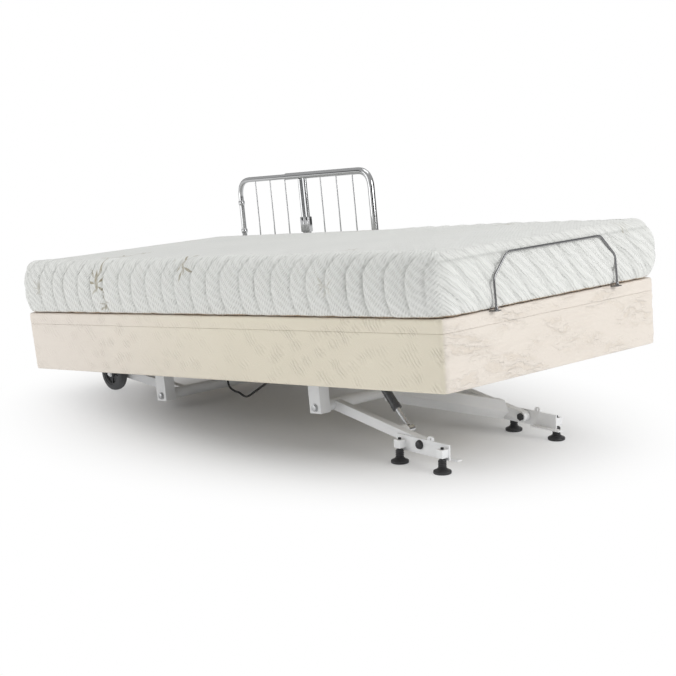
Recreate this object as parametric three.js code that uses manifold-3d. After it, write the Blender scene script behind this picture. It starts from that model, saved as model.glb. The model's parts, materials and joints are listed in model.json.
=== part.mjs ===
// A hi-lo adjustable bed: an upholstered base on two hinged leg frames, a four-section deck with its
// mattress, linear actuators, an assist rail on the left side and a mattress retainer at the foot.
// Millimetres. +X runs from the head to the foot, +Y to the left of the person lying on it, +Z up.
import * as THREE from "three";
import { mergeVertices } from "three/addons/utils/BufferGeometryUtils.js";
import Module from "manifold-3d";

const wasm = await Module();
wasm.setup();

// ---- Driving dimensions ----
const bedLength = 2032; // mattress and base, head to foot
const bedWidth = 906;
const pitch = THREE.MathUtils.degToRad(5.9); // how far the foot end is raised above the head end
const baseClearance = 192; // floor to the underside of the base, half way along

const boxHeight = 159.5; // upholstered box under the deck
const boxWall = 32; // side boards with their padding
const endTaper = 11; // how far the ends of the base lean in, top to bottom
const deckBottom = 160; // deck heights above the underside of the base
const deckThickness = 38;
const mattressThickness = 177;
const mattressGap = 2;
const mattressCorner = 48;
const mattressEdge = 18;

const gap = 0.3; // between faces that touch
const hingeGap = 4; // between two deck sections
const mattressSplit = 1.2; // between two mattress sections

const backHingeX = -160; // the three hinge lines across the deck
const thighHingeX = 90;
const kneeHingeX = 450;

const railBeamY = 278; // frame beams and the brackets hung under them
const beamHeight = 50;
const beamWidth = 25;
const beamWall = 2.5;
const beamBottom = -8;
const beamEndRoom = 86; // from the ends of the bed to the ends of the beams
const beamLength = bedLength - 2 * beamEndRoom;
const crossHeight = 40;
const crossWidth = 30;
const headLegInset = 531; // from the head end of the bed to the head leg hinge
const footLegInset = 719;
const headPivotX = -bedLength / 2 + headLegInset;
const footPivotX = bedLength / 2 - footLegInset;
const crossHeadX = headPivotX + 70;
const crossSeatX = -300;
const crossKneeX = footPivotX + 33;

const legPivotZ = -100; // leg hinges, below the underside of the base
const bracketDepth = 40;
const bracketWall = 4;
const bracketRoom = 3; // between a torque tube and the sides of its brackets
const bracketReach = 18; // plate below the pivot
const legTube = 18; // radius of the torque tubes
const bracketWidth = 2 * (legTube + bracketRoom + bracketWall);
const pivotBolt = 6; // radius of the leg hinge bolts
const pivotBore = 6.5;

const armHeight = 30;
const armWidth = 25;
const armFaceY = 230; // outer faces of the foot leg arms
const footArmLength = 383;
const headArmLength = 358.4;
const headArmFaceY = 214;

const rockerBoltZ = 63; // height of the rocker foot's pivot
const rockerStart = -94; // rocker foot plate, head end and foot end, from its pivot
const rockerEnd = 116;
const rockerLow = 36;
const rockerHigh = 81;
const rockerPlate = 5;
const rockerBolt = 8;
const socketSize = 24;
const levelerX = [-68, 102]; // from the rocker foot's pivot
const levelerY = 250;
const levelerPad = 26.5;
const levelerStem = 5;

const wheelRadius = 62.5;
const wheelWidth = 32;
const wheelY = 238;
const hubRadius = 42;
const axleRadius = 6;

const railHeadTube = 9.5;
const railFootTube = 12.5;
const railRoom = 6.5; // between the side of the bed and the thick post
const railY = bedWidth / 2 + railRoom + railFootTube; // the plane of the assist rail
const railTop = 581;
const railLength = 726;
const railHeadInset = 110; // from the head end of the bed to the first post
const railHeadX = -bedLength / 2 + railHeadInset;
const railFootX = railHeadX + railLength;
const railCentreX = railHeadX + 364;
const railInnerPost = 8.5; // radius of the two centre posts
const railPostOffset = 11.5; // each side of the rail's centre
const railWirePitch = 85.5;
const railHeadWire = railHeadX + 95;
const railFootWire = railCentreX + 99;
const railSocketX = railCentreX - 88; // where the thin half of the top bar enters the thick one
const railLowBar = 352;
const railPostEnd = 100;
const sleeveBottom = 135;
const sleeveTop = 199;

const retainerX = bedLength / 2 + 14;
const retainerTab = 108; // length of its flat tabs
const retainerTabEnd = retainerX + 8;
const retainerRod = 3.2;
const retainerHalf = 260;
const retainerTopHalf = 199;
const retainerBend = 285;
const retainerTop = 348;

const actuatorTube = 15;
const actuatorRod = 10;
const eyeRadius = 16;
const eyeWidth = 28;
const pinRadius = 5;

// ---- Solids ----
function solid(geometry) {
  const plain = geometry.index ? geometry.toNonIndexed() : geometry.clone();
  plain.deleteAttribute("normal");
  plain.deleteAttribute("uv");
  const merged = mergeVertices(plain, 1e-4);
  return new wasm.Manifold(
    new wasm.Mesh({
      numProp: 3,
      vertProperties: merged.attributes.position.array,
      triVerts: new Uint32Array(merged.index.array),
    }),
  );
}

function geometryOf(body) {
  const mesh = body.getMesh();
  const geometry = new THREE.BufferGeometry();
  geometry.setAttribute("position", new THREE.BufferAttribute(mesh.vertProperties, 3));
  geometry.setIndex(new THREE.BufferAttribute(mesh.triVerts, 1));
  geometry.computeVertexNormals();
  return geometry;
}

function join(...pieces) {
  return geometryOf(pieces.map(solid).reduce((all, piece) => all.add(piece)));
}

function cut(piece, ...tools) {
  return geometryOf(tools.map(solid).reduce((left, tool) => left.subtract(tool), solid(piece)));
}

function overlap(piece, other) {
  return geometryOf(solid(piece).intersect(solid(other)));
}

// A box between two corners.
function block([x0, x1], [y0, y1], [z0, z1]) {
  const box = new THREE.BoxGeometry(Math.abs(x1 - x0), Math.abs(y1 - y0), Math.abs(z1 - z0));
  return box.translate((x0 + x1) / 2, (y0 + y1) / 2, (z0 + z1) / 2);
}

function rodAlongY(radius, y0, y1, x = 0, z = 0, sides = 16) {
  const rod = new THREE.CylinderGeometry(radius, radius, Math.abs(y1 - y0), sides);
  return rod.translate(x, (y0 + y1) / 2, z);
}

function rodAlongX(radius, x0, x1, z = 0, sides = 24) {
  const rod = new THREE.CylinderGeometry(radius, radius, Math.abs(x1 - x0), sides);
  return rod.rotateZ(Math.PI / 2).translate((x0 + x1) / 2, 0, z);
}

function rodAlongZ(radius, z0, z1, x = 0, y = 0, sides = 24) {
  const rod = new THREE.CylinderGeometry(radius, radius, Math.abs(z1 - z0), sides);
  return rod.rotateX(Math.PI / 2).translate(x, y, (z0 + z1) / 2);
}

// A plate whose outline is drawn in X and Z, between two Y values.
function plate(shape, y0, y1, curveSegments = 12) {
  const options = { depth: Math.abs(y1 - y0), bevelEnabled: false, curveSegments };
  const extruded = new THREE.ExtrudeGeometry(shape, options);
  return extruded.rotateX(Math.PI / 2).translate(0, Math.max(y0, y1), 0);
}

function outline(points) {
  return new THREE.Shape(points.map(([x, z]) => new THREE.Vector2(x, z)));
}

// A link plate from a wide root to a round eye.
function lug(rootA, rootB, eye, radius) {
  const along = new THREE.Vector2(eye[0] - (rootA[0] + rootB[0]) / 2, eye[1] - (rootA[1] + rootB[1]) / 2);
  const start = along.angle() - Math.PI / 2;
  const shape = new THREE.Shape();
  shape.moveTo(...rootA);
  shape.lineTo(...rootB);
  shape.absarc(eye[0], eye[1], radius, start, start + Math.PI, false);
  shape.closePath();
  return shape;
}

// A rectangular tube, open at both ends, from two outlines one inside the other.
function boxTube(width, height, wall, length) {
  const shape = outline([
    [-width / 2, -height / 2],
    [width / 2, -height / 2],
    [width / 2, height / 2],
    [-width / 2, height / 2],
  ]);
  const inner = outline([
    [wall - width / 2, wall - height / 2],
    [wall - width / 2, height / 2 - wall],
    [width / 2 - wall, height / 2 - wall],
    [width / 2 - wall, wall - height / 2],
  ]);
  shape.holes.push(inner);
  const tube = new THREE.ExtrudeGeometry(shape, { depth: length, bevelEnabled: false });
  return tube.translate(0, 0, -length / 2);
}

// The points of a route through corners, each corner rounded off over a given distance.
function rounded(points, bend, steps = 6) {
  const route = [points[0]];
  points.slice(1, -1).forEach((corner, i) => {
    const before = corner.clone().lerp(points[i], bend / corner.distanceTo(points[i]));
    const after = corner.clone().lerp(points[i + 2], bend / corner.distanceTo(points[i + 2]));
    route.push(...new THREE.QuadraticBezierCurve3(before, corner, after).getPoints(steps));
  });
  return [...route, points[points.length - 1]];
}

// A curve whose even steps are the points it is given.
class Route extends THREE.Curve {
  constructor(points) {
    super();
    this.points = points;
  }

  getPoint(t) {
    const place = t * (this.points.length - 1);
    const i = Math.min(Math.floor(place), this.points.length - 2);
    return this.points[i].clone().lerp(this.points[i + 1], place - i);
  }

  getUtoTmapping(u) {
    return u;
  }
}

function roundBar(points, radius, sides = 10) {
  const section = new THREE.Shape();
  section.absarc(0, 0, radius, 0, 2 * Math.PI);
  return new THREE.ExtrudeGeometry(section, {
    steps: points.length - 1,
    curveSegments: sides / 2,
    extrudePath: new Route(points),
    bevelEnabled: false,
  });
}

// ---- Materials and meshes ----
function material(color, roughness, metalness = 0) {
  return new THREE.MeshStandardMaterial({ color, roughness, metalness });
}

const finish = {
  coat: () => material(0xdfe0de, 0.45, 0.2),
  chrome: () => material(0xd8dadc, 0.12, 1),
  blackSteel: () => material(0x3b3c3e, 0.3, 0.8),
  bolt: () => material(0x1c1d1f, 0.45, 0.6),
  zinc: () => material(0xb9bcbe, 0.35, 0.9),
  rubber: () => material(0x2b2c2e, 0.8),
  plastic: () => material(0x17181a, 0.5),
  cream: () => material(0xe6dccb, 0.85),
  knit: () => material(0xe9eae6, 0.9),
};

function mesh(name, geometry, makeMaterial) {
  const made = new THREE.Mesh(geometry, makeMaterial());
  made.name = name;
  return made;
}

// An empty that marks a hinge or slide axis: its local Y is a hinge's axis, its local Z a slide's.
function axisMark(name, x, y, z, turn = 0) {
  const mark = new THREE.Object3D();
  mark.name = name;
  mark.position.set(x, y, z);
  mark.rotation.y = turn;
  return mark;
}

const sides = [
  ["left", 1],
  ["right", -1],
];

// ---- Base ----
const halfWidth = bedWidth / 2;
const deckTop = deckBottom + deckThickness;

// Where the leaning end of the base is at a height above its underside.
function endX(z) {
  return bedLength / 2 - endTaper * (1 - z / deckTop);
}

function basePanels(group) {
  for (const [name, end] of [
    ["foot_panel", 1],
    ["head_panel", -1],
  ]) {
    const shape = outline([
      [end * (endX(0) - boxWall), 0],
      [end * endX(0), 0],
      [end * endX(boxHeight), boxHeight],
      [end * (endX(boxHeight) - boxWall), boxHeight],
    ]);
    group.add(mesh(name, plate(shape, -halfWidth, halfWidth), finish.cream));
  }
  const low = endX(0) - boxWall - gap;
  const high = endX(boxHeight) - boxWall - gap;
  const side = outline([
    [-low, 0],
    [low, 0],
    [high, boxHeight],
    [-high, boxHeight],
  ]);
  for (const [name, s] of sides) {
    const board = plate(side, s * (halfWidth - boxWall), s * halfWidth);
    group.add(mesh("side_panel_" + name, board, finish.cream));
  }
}

const crossBottom = beamBottom + beamHeight + gap;
const crossMiddle = crossBottom + crossHeight / 2;
const crossSpan = bedWidth - 2 * (boxWall + gap);

function crossTube(x) {
  return boxTube(crossWidth, crossHeight, beamWall, crossSpan)
    .rotateX(Math.PI / 2)
    .translate(x, 0, crossMiddle);
}

// A lug beside an actuator's tail, with the pin that the tail turns on.
function tailLug(root, eye, y, side) {
  const face = y + side * (eyeWidth / 2 + 2);
  const ear = plate(lug(root[0], root[1], eye, eyeRadius), face, face + side * 6);
  return join(ear, rodAlongY(pinRadius, face + side * 3, y - (side * eyeWidth) / 2, eye[0], eye[1], 16));
}

// A lift actuator stands just inside the ear on the right-hand arm that it pushes.
function liftY(armFace) {
  return -(armFace - armWidth - lugThickness - 2 - eyeWidth / 2);
}

const headLiftTail = [headPivotX - 35, 130];
const footLiftTail = [footPivotX + 89, 62];
const backTail = [crossKneeX - 25, 105];
const kneeTail = [crossSeatX + 30, 105];
const lugThickness = 18; // of the ears on the right-hand leg arms
const headLiftY = liftY(headArmFaceY);
const footLiftY = liftY(armFaceY);
const backActuatorY = 90;
const kneeActuatorY = -90;

function frameBeams(group) {
  const middle = beamBottom + beamHeight / 2;
  for (const [name, s] of sides) {
    const beam = boxTube(beamWidth, beamHeight, beamWall, beamLength)
      .rotateX(Math.PI / 2)
      .rotateZ(Math.PI / 2)
      .translate(0, s * railBeamY, middle);
    group.add(mesh("frame_beam_" + name, beam, finish.coat));
  }
  const top = crossBottom + crossHeight - 1;
  const headRoot = [
    [crossHeadX - crossWidth / 2, top],
    [crossHeadX + 12, top],
  ];
  const kneeRoot = [
    [crossSeatX - 12, top],
    [crossSeatX + 12, top],
  ];
  const backRoot = [
    [crossKneeX - 13, top],
    [crossKneeX + 10, top],
  ];
  const footRoot = [
    [crossKneeX + crossWidth / 2 - 1, top - 3],
    [crossKneeX + crossWidth / 2 - 1, crossBottom + 4],
  ];
  const head = join(crossTube(crossHeadX), tailLug(headRoot, headLiftTail, headLiftY, -1));
  const seat = join(crossTube(crossSeatX), tailLug(kneeRoot, kneeTail, kneeActuatorY, -1));
  const knee = join(
    crossTube(crossKneeX),
    tailLug(backRoot, backTail, backActuatorY, 1),
    tailLug(footRoot, footLiftTail, footLiftY, -1),
  );
  group.add(mesh("cross_member_head", head, finish.coat));
  group.add(mesh("cross_member_seat", seat, finish.coat));
  group.add(mesh("cross_member_knee", knee, finish.coat));
}

// A bracket hung under a frame beam, open inwards, with the hole for a leg hinge bolt.
function bracket(x, s) {
  const face = s * (railBeamY + bracketDepth / 2);
  const inner = s * (railBeamY - bracketDepth / 2);
  const top = beamBottom - gap;
  const bottom = legPivotZ - bracketReach;
  const half = bracketWidth / 2;
  const body = block([x - half, x + half], [face, inner], [bottom, top]);
  const inside = block(
    [x - half + bracketWall, x + half - bracketWall],
    [face - s * bracketWall, inner - s],
    [bottom - 1, top - bracketWall],
  );
  return cut(body, inside, rodAlongY(pivotBore, face + s, face - s * (bracketWall + 1), x, legPivotZ));
}

function hexHead(radius, y0, y1, x, z) {
  return rodAlongY(radius, y0, y1, x, z, 6);
}

function brackets(group) {
  for (const [end, x] of [
    ["head", headPivotX],
    ["foot", footPivotX],
  ]) {
    for (const [name, s] of sides) {
      const face = s * (railBeamY + bracketDepth / 2 + gap);
      const shaft = rodAlongY(pivotBolt, face, s * (railBeamY - 28), x, legPivotZ);
      const bolt = join(shaft, hexHead(11, face, face + s * 7, x, legPivotZ));
      group.add(mesh(`${end}_bracket_${name}`, bracket(x, s), finish.coat));
      group.add(mesh(`${end}_pivot_bolt_${name}`, bolt, finish.zinc));
    }
  }
}

const controlBoxReach = 80; // from its cross member to its head end

function controlBox(group) {
  const start = crossSeatX - controlBoxReach;
  const body = block([start, start + 180], [-270, -150], [crossBottom + crossHeight + gap, 133]);
  const gland = rodAlongZ(7, 73, 90, start + 140, -200, 16);
  group.add(mesh("control_box", join(body, gland), finish.plastic));
  const route = [
    [-240, 72.7],
    [-241, 40],
    [-243, 0],
    [-244, -40],
    [-236, -74],
    [-212, -88],
    [-188, -93],
    [-160, -104],
    [-138, -101],
    [-104, -85],
    [-66, -67],
    [-30, -49],
    [20, -20],
    [80, 22],
    [160, 50],
    [240, 61],
    [crossKneeX - crossWidth / 2 - gap, 62],
  ].map(([x, z]) => new THREE.Vector3(x, -200, z));
  const curve = new THREE.CatmullRomCurve3(route);
  const lead = roundBar(curve.getSpacedPoints(44), 3.5, 8);
  group.add(mesh("control_lead", lead, finish.plastic));
}

// ---- Deck and mattress sections ----
const sections = {
  back: [-bedLength / 2, backHingeX],
  seat: [backHingeX, thighHingeX],
  thigh: [thighHingeX, kneeHingeX],
  foot: [kneeHingeX, bedLength / 2],
};

// Pulls a section's two ends in, except where they are the ends of the bed.
function inset([x0, x1], amount) {
  const end = bedLength / 2;
  return [x0 <= -end ? -end - 50 : x0 + amount, x1 >= end ? end + 50 : x1 - amount];
}

const retainerPocket = 3.6;

function deckPanel(name) {
  const wholeOutline = outline([
    [-endX(deckBottom), deckBottom],
    [endX(deckBottom), deckBottom],
    [endX(deckTop), deckTop],
    [-endX(deckTop), deckTop],
  ]);
  const whole = plate(wholeOutline, -halfWidth, halfWidth);
  const slab = block(inset(sections[name], hingeGap / 2), [-bedWidth, bedWidth], [0, 400]);
  let panel = overlap(whole, slab);
  if (name === "foot") {
    for (const [, s] of sides) {
      const y = s * retainerHalf;
      const pocketStart = retainerTabEnd - retainerTab - 2;
      const floor = deckTop - retainerPocket;
      panel = cut(panel, block([pocketStart, bedLength], [y - 18, y + 18], [floor, deckTop + 5]));
    }
  }
  return panel;
}

function wholeMattress() {
  const half = bedLength / 2 - mattressEdge;
  const side = halfWidth - mattressEdge;
  const radius = mattressCorner - mattressEdge;
  const plan = new THREE.Shape();
  plan.absarc(half - radius, side - radius, radius, 0, Math.PI / 2);
  plan.absarc(-half + radius, side - radius, radius, Math.PI / 2, Math.PI);
  plan.absarc(-half + radius, -side + radius, radius, Math.PI, 1.5 * Math.PI);
  plan.absarc(half - radius, -side + radius, radius, 1.5 * Math.PI, 2 * Math.PI);
  plan.closePath();
  const body = new THREE.ExtrudeGeometry(plan, {
    depth: mattressThickness - 2 * mattressEdge,
    bevelThickness: mattressEdge,
    bevelSize: mattressEdge,
    bevelSegments: 3,
    curveSegments: 6,
  });
  return body.translate(0, 0, deckTop + mattressGap + mattressEdge);
}

function sectionMeshes(groups) {
  const whole = wholeMattress();
  for (const [name, range] of Object.entries(sections)) {
    const slab = block(inset(range, mattressSplit), [-bedWidth, bedWidth], [0, 600]);
    groups[name].add(mesh("deck_" + name, deckPanel(name), finish.cream));
    groups[name].add(mesh("mattress_" + name, overlap(whole, slab), finish.knit));
  }
}

// A plate under a deck section that its actuator pushes, with clearance for the rod's pin.
function pushLever(hingeX, eye, y, side, clearance) {
  const away = Math.sign(hingeX - thighHingeX + 1);
  const near = hingeX + away * 6;
  const far = hingeX + away * 100;
  const top = deckBottom - gap;
  const radius = pinRadius + clearance + 9;
  const shape = new THREE.Shape();
  shape.moveTo(far, top - 16);
  shape.lineTo(far, top);
  shape.lineTo(near, top);
  const start = away < 0 ? 0 : Math.PI;
  shape.absarc(eye[0], eye[1], radius, start, start + (away < 0 ? -Math.PI : Math.PI), away < 0);
  shape.closePath();
  const hole = new THREE.Path();
  hole.absarc(eye[0], eye[1], pinRadius + clearance, 0, 2 * Math.PI);
  shape.holes.push(hole);
  const face = y + side * (eyeWidth / 2 + 2);
  return plate(shape, face, face + side * 8);
}

const backPin = [backHingeX, 90];
const kneePin = [thighHingeX, 85];

// ---- Mattress retainer ----
function retainer() {
  const low = deckTop - retainerPocket + 0.4;
  const points = [
    [-retainerHalf, low + 1],
    [-retainerHalf, retainerBend],
    [-retainerTopHalf, retainerTop],
    [retainerTopHalf, retainerTop],
    [retainerHalf, retainerBend],
    [retainerHalf, low + 1],
  ].map(([y, z]) => new THREE.Vector3(retainerX, y, z));
  const tabs = sides.map(([, s]) => {
    const y = s * retainerHalf;
    return block([retainerTabEnd - retainerTab, retainerTabEnd], [y - 15, y + 15], [low, low + 3]);
  });
  return join(roundBar(rounded(points, 12, 4), retainerRod), ...tabs);
}

// ---- Assist rail ----
// One half of the rail: an outer post bent into the top bar, an inner post, a low bar and three wires.
function railHalf(outerX, innerX, innerTop, endX, radius, wires) {
  const v = (x, z) => new THREE.Vector3(x, railY, z);
  const route = rounded([v(outerX, railPostEnd), v(outerX, railTop), v(endX, railTop)], 62, 8);
  const innerPost = rodAlongZ(railInnerPost, railLowBar - 6, innerTop, innerX, railY, 12);
  const lowBar = rodAlongX(6, Math.min(outerX, innerX), Math.max(outerX, innerX), railLowBar, 10);
  const bars = wires.map((x) => rodAlongZ(2.4, railLowBar, railTop, x, railY, 6));
  return join(roundBar(route, radius, 14), innerPost, lowBar.translate(0, railY, 0), ...bars);
}

function railClamp(x0, x1) {
  return block([x0, x1], [railY - 11, railY + 11], [384, 414]);
}

// The thin top bar of the head half slides inside the thick one of the foot half.
function assistRail(group) {
  const wires = (start) => [0, 1, 2].map((i) => start + i * railWirePitch);
  const headInner = railCentreX - railPostOffset;
  const footInner = railCentreX + railPostOffset;
  const clampReach = railPostOffset + railInnerPost + 3;
  const headInnerTop = railTop - railFootTube - gap;
  const headEnd = railSocketX + 40;
  const headHalf = railHalf(railHeadX, headInner, headInnerTop, headEnd, railHeadTube, wires(railHeadWire));
  const collars = [388, 495].map((z) => rodAlongZ(12, z - 7, z + 7, railHeadX, railY, 14));
  const headJoined = join(headHalf, ...collars, railClamp(railCentreX - clampReach, railCentreX - gap / 2));
  const footHalf = railHalf(railFootX, footInner, railTop, railSocketX, railFootTube, wires(railFootWire));
  const socket = rodAlongX(railHeadTube + 0.5, railSocketX - 1, railSocketX + 46, 0, 14);
  const footJoined = join(footHalf, railClamp(railCentreX + gap / 2, railCentreX + clampReach));
  const footBored = cut(footJoined, socket.translate(0, railY, railTop));
  group.add(mesh("assist_rail_head_half", headJoined, finish.chrome));
  group.add(mesh("assist_rail_foot_half", footBored, finish.chrome));
}

// The bar on the edge of the back section, with a sleeve for each post of the assist rail.
function railBracket() {
  const face = halfWidth + gap;
  const flat = block([railHeadX - 20, railFootX + 8], [face, face + 5], [deckBottom + 4, deckTop - 4]);
  const parts = [flat];
  const bores = [];
  for (const [x, radius] of [
    [railHeadX, railHeadTube],
    [railFootX, railFootTube],
  ]) {
    parts.push(rodAlongZ(radius + 4, sleeveBottom, sleeveTop, x, railY, 20));
    parts.push(block([x - 8, x + 8], [face, railY - radius], [deckBottom + 4, deckTop - 4]));
    bores.push(rodAlongZ(radius + 0.6, sleeveBottom - 1, sleeveTop + 1, x, railY, 20));
  }
  return cut(join(...parts), ...bores);
}

// ---- Leg frames ----
function torqueTube() {
  const half = railBeamY + bracketDepth / 2 - bracketWall - 2;
  return cut(rodAlongY(legTube, -half, half), rodAlongY(pivotBore, -half - 1, half + 1));
}

function arm(length, faceY, s, overrun, bore) {
  const y0 = s * faceY;
  const y1 = s * (faceY - armWidth);
  const half = armHeight / 2;
  const bar = block([0, length], [y0, y1], [-half, half]);
  const nose = rodAlongY(half, y0, y1, length, 0);
  const stub = block([length - 1, length + overrun], [y0, y1], [-half, half]);
  const body = overrun > 0 ? join(bar, stub) : join(bar, nose);
  const past = Math.max(Math.abs(y0), Math.abs(y1)) + 1;
  return cut(body, rodAlongY(legTube + gap, -past, past), rodAlongY(bore, y0 + s, y1 - s, length, 0));
}

// The ear on an arm that a lift actuator's rod pushes, with clearance for the rod's pin.
function pushEar(distance, innerFace, clearance) {
  const y0 = innerFace - 1;
  const y1 = innerFace + lugThickness;
  const ear = rodAlongY(17, y0, y1, distance, 0);
  return cut(ear, rodAlongY(pinRadius + clearance, y1 - 8, y1 + 1, distance, 0));
}

const footPushDistance = 277.3;
const headPushDistance = 262;
const earClearance = 3.5;

// A folded channel from the middle of the torque tube to the far end of the left arm.
function legBrace() {
  const innerFace = armFaceY - armWidth;
  const start = new THREE.Vector2(0, -8);
  const end = new THREE.Vector2(310, innerFace);
  const along = end.clone().sub(start);
  const section = outline([
    [-31, 10],
    [-31, -2],
    [-27, -2],
    [0, -14],
    [27, -2],
    [31, -2],
    [31, 10],
    [28, 10],
    [28, 1.5],
    [0, -10],
    [-28, 1.5],
    [-28, 10],
  ]);
  const bar = new THREE.ExtrudeGeometry(section, { depth: along.length() + 90, bevelEnabled: false });
  bar.translate(0, 0, -40).rotateY(Math.PI / 2).rotateZ(along.angle()).translate(start.x, start.y, 0);
  const beyond = block([-200, 500], [innerFace - gap, innerFace + 200], [-60, 60]);
  const behind = block([-200, 6], [-300, 300], [-60, 60]);
  return cut(bar, beyond, behind, rodAlongY(legTube + gap, -300, 300));
}

function footLeg(group) {
  const innerFace = armFaceY - armWidth;
  const ear = pushEar(footPushDistance, -innerFace, earClearance);
  const nearArm = join(arm(footArmLength, armFaceY, -1, 0, rockerBolt + 0.5), ear);
  group.add(mesh("foot_torque_tube", torqueTube(), finish.coat));
  group.add(mesh("foot_arm_right", nearArm, finish.coat));
  group.add(mesh("foot_arm_left", arm(footArmLength, armFaceY, 1, 0, rockerBolt + 0.5), finish.coat));
  group.add(mesh("foot_leg_brace", legBrace(), finish.coat));
}

function headLeg(group) {
  const innerFace = headArmFaceY - armWidth;
  const overrun = 16;
  const ear = pushEar(headPushDistance, -innerFace, earClearance);
  group.add(mesh("head_torque_tube", torqueTube(), finish.coat));
  for (const [name, s] of sides) {
    const cap = wheelY + wheelWidth / 2 + 2;
    const axle = rodAlongY(axleRadius, s * (headArmFaceY - 2), s * (cap + 1), headArmLength, 0);
    const head = hexHead(10, s * cap, s * (cap + 6), headArmLength, 0);
    const bar = join(arm(headArmLength, headArmFaceY, s, overrun, 3), axle, head);
    group.add(mesh("head_arm_" + name, s < 0 ? join(bar, ear) : bar, finish.coat));
  }
}

function wheel(group, name, s) {
  const half = wheelWidth / 2;
  const shoulder = 7;
  const profile = [
    [hubRadius + gap, -half],
    [wheelRadius - shoulder, -half],
    [wheelRadius - 2, -half + 3],
    [wheelRadius, -half + shoulder],
    [wheelRadius, half - shoulder],
    [wheelRadius - 2, half - 3],
    [wheelRadius - shoulder, half],
    [hubRadius + gap, half],
    [hubRadius + gap, -half],
  ].map(([r, y]) => new THREE.Vector2(r, y));
  const tyre = new THREE.LatheGeometry(profile, 32).translate(0, s * wheelY, 0);
  const y = (offset) => s * (wheelY + offset);
  const disc = join(
    rodAlongY(hubRadius, y(-6), y(6), 0, 0, 32),
    rodAlongY(16, y(-half), y(half), 0, 0, 16),
    cut(rodAlongY(hubRadius, y(2 - half), y(half - 2), 0, 0, 32), rodAlongY(35, y(-half), y(half), 0, 0, 24)),
  );
  const hub = cut(disc, rodAlongY(axleRadius + 0.4, y(-half - 1), y(half + 1)));
  group.add(mesh("wheel_tyre_" + name, tyre, finish.rubber));
  group.add(mesh("wheel_hub_" + name, hub, finish.plastic));
}

// ---- Rocker feet and levelers, level on the floor ----
function rockerFoot(pivotX, s) {
  const face = s * (armFaceY + 1 + rockerPlate);
  const back = s * (armFaceY + 1);
  const start = pivotX + rockerStart;
  const end = pivotX + rockerEnd;
  const rocker = block([start, end], [face, back], [rockerLow, rockerHigh]);
  const tab = outline([
    [pivotX + 31, rockerHigh - 1],
    [pivotX + 53, rockerHigh - 1],
    [pivotX + 53, rockerHigh + 8],
    [pivotX + 48, rockerHigh + 13],
    [pivotX + 36, rockerHigh + 13],
    [pivotX + 31, rockerHigh + 8],
  ]);
  const ledge = block([pivotX + 30, end + 26], [back - s, back - s * 20], [rockerLow, rockerLow + 4]);
  const ledgeRoot = block([pivotX + 30, end], [face, back - s * 3], [rockerLow, rockerLow + 4]);
  const holes = [
    rodAlongY(4, face + s, back - s, pivotX + 42, rockerHigh + 5, 10),
    rodAlongY(rockerBolt + 0.4, face + s, back - s, pivotX, rockerBoltZ),
  ];
  const levelers = levelerX.map((offset) => pivotX + offset);
  const sockets = levelers.map((x) =>
    block(
      [x - socketSize / 2, x + socketSize / 2],
      [face - s, s * (levelerY + socketSize / 2)],
      [rockerLow + 10, rockerLow + 10 + socketSize],
    ),
  );
  const bores = levelers.map((x) => rodAlongZ(levelerStem + 0.5, 0, 100, x, s * levelerY, 12));
  const body = join(rocker, plate(tab, face, back), ledge, ledgeRoot, ...sockets);
  return cut(body, ...holes, ...bores);
}

function rockerPivotBolt(pivotX, s) {
  const face = s * (armFaceY + 1 + rockerPlate + gap);
  const inner = s * (armFaceY - armWidth - 1);
  return join(
    rodAlongY(rockerBolt, face, inner, pivotX, rockerBoltZ),
    hexHead(14, face, face + s * 9, pivotX, rockerBoltZ),
    hexHead(12.5, inner, inner - s * 6, pivotX, rockerBoltZ),
  );
}

// A leveling foot: a flared pad, a ribbed neck and a threaded stem.
function leveler(x, y) {
  const neck = rockerLow + 5;
  const ribs = [18, 27].flatMap((z) => [
    [10, z],
    [12.5, z + 1],
    [12.5, z + 4],
    [10, z + 5],
  ]);
  const profile = [
    [0, 0],
    [levelerPad, 0],
    [levelerPad, 7],
    [levelerPad - 4, 9],
    [15, 13],
    ...ribs,
    [10, neck - 1],
    [levelerStem, neck - 1],
    [levelerStem, rockerHigh - 6],
    [0, rockerHigh - 6],
  ].map(([r, z]) => new THREE.Vector2(r, z));
  return new THREE.LatheGeometry(profile, 16).rotateX(Math.PI / 2).translate(x, y, 0);
}

// ---- Actuators ----
// The housing lies along local X from the eye of its tail, with the motor standing off it.
function actuatorHousing(tubeEnd, motorLength, motorSide) {
  const eye = rodAlongY(eyeRadius, -eyeWidth / 2, eyeWidth / 2);
  const shank = block([8, 32], [-11, 11], [-12, 12]);
  const gearbox = block([28, 92], [-25, 25], [-24, 24]);
  const motor = rodAlongZ(22, motorSide * 20, motorSide * (24 + motorLength), 60, 0, 20);
  const tube = rodAlongX(actuatorTube, 90, tubeEnd, 0, 20);
  const bore = rodAlongX(actuatorRod + 0.6, 96, tubeEnd + 1, 0, 20);
  const pinHole = rodAlongY(pinRadius + 0.4, -eyeWidth, eyeWidth);
  return cut(join(eye, shank, gearbox, motor, tube), bore, pinHole);
}

// The rod, with an eye and a pin that stands out of it to one side.
function actuatorPushRod(length, side) {
  const rod = rodAlongX(actuatorRod, 100, length - 4, 0, 16);
  const eye = rodAlongY(12, -eyeWidth / 2, eyeWidth / 2, length, 0);
  const pin = rodAlongY(pinRadius, 0, side * (eyeWidth / 2 + 9), length, 0, 16);
  return join(rod, eye, pin);
}

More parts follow.
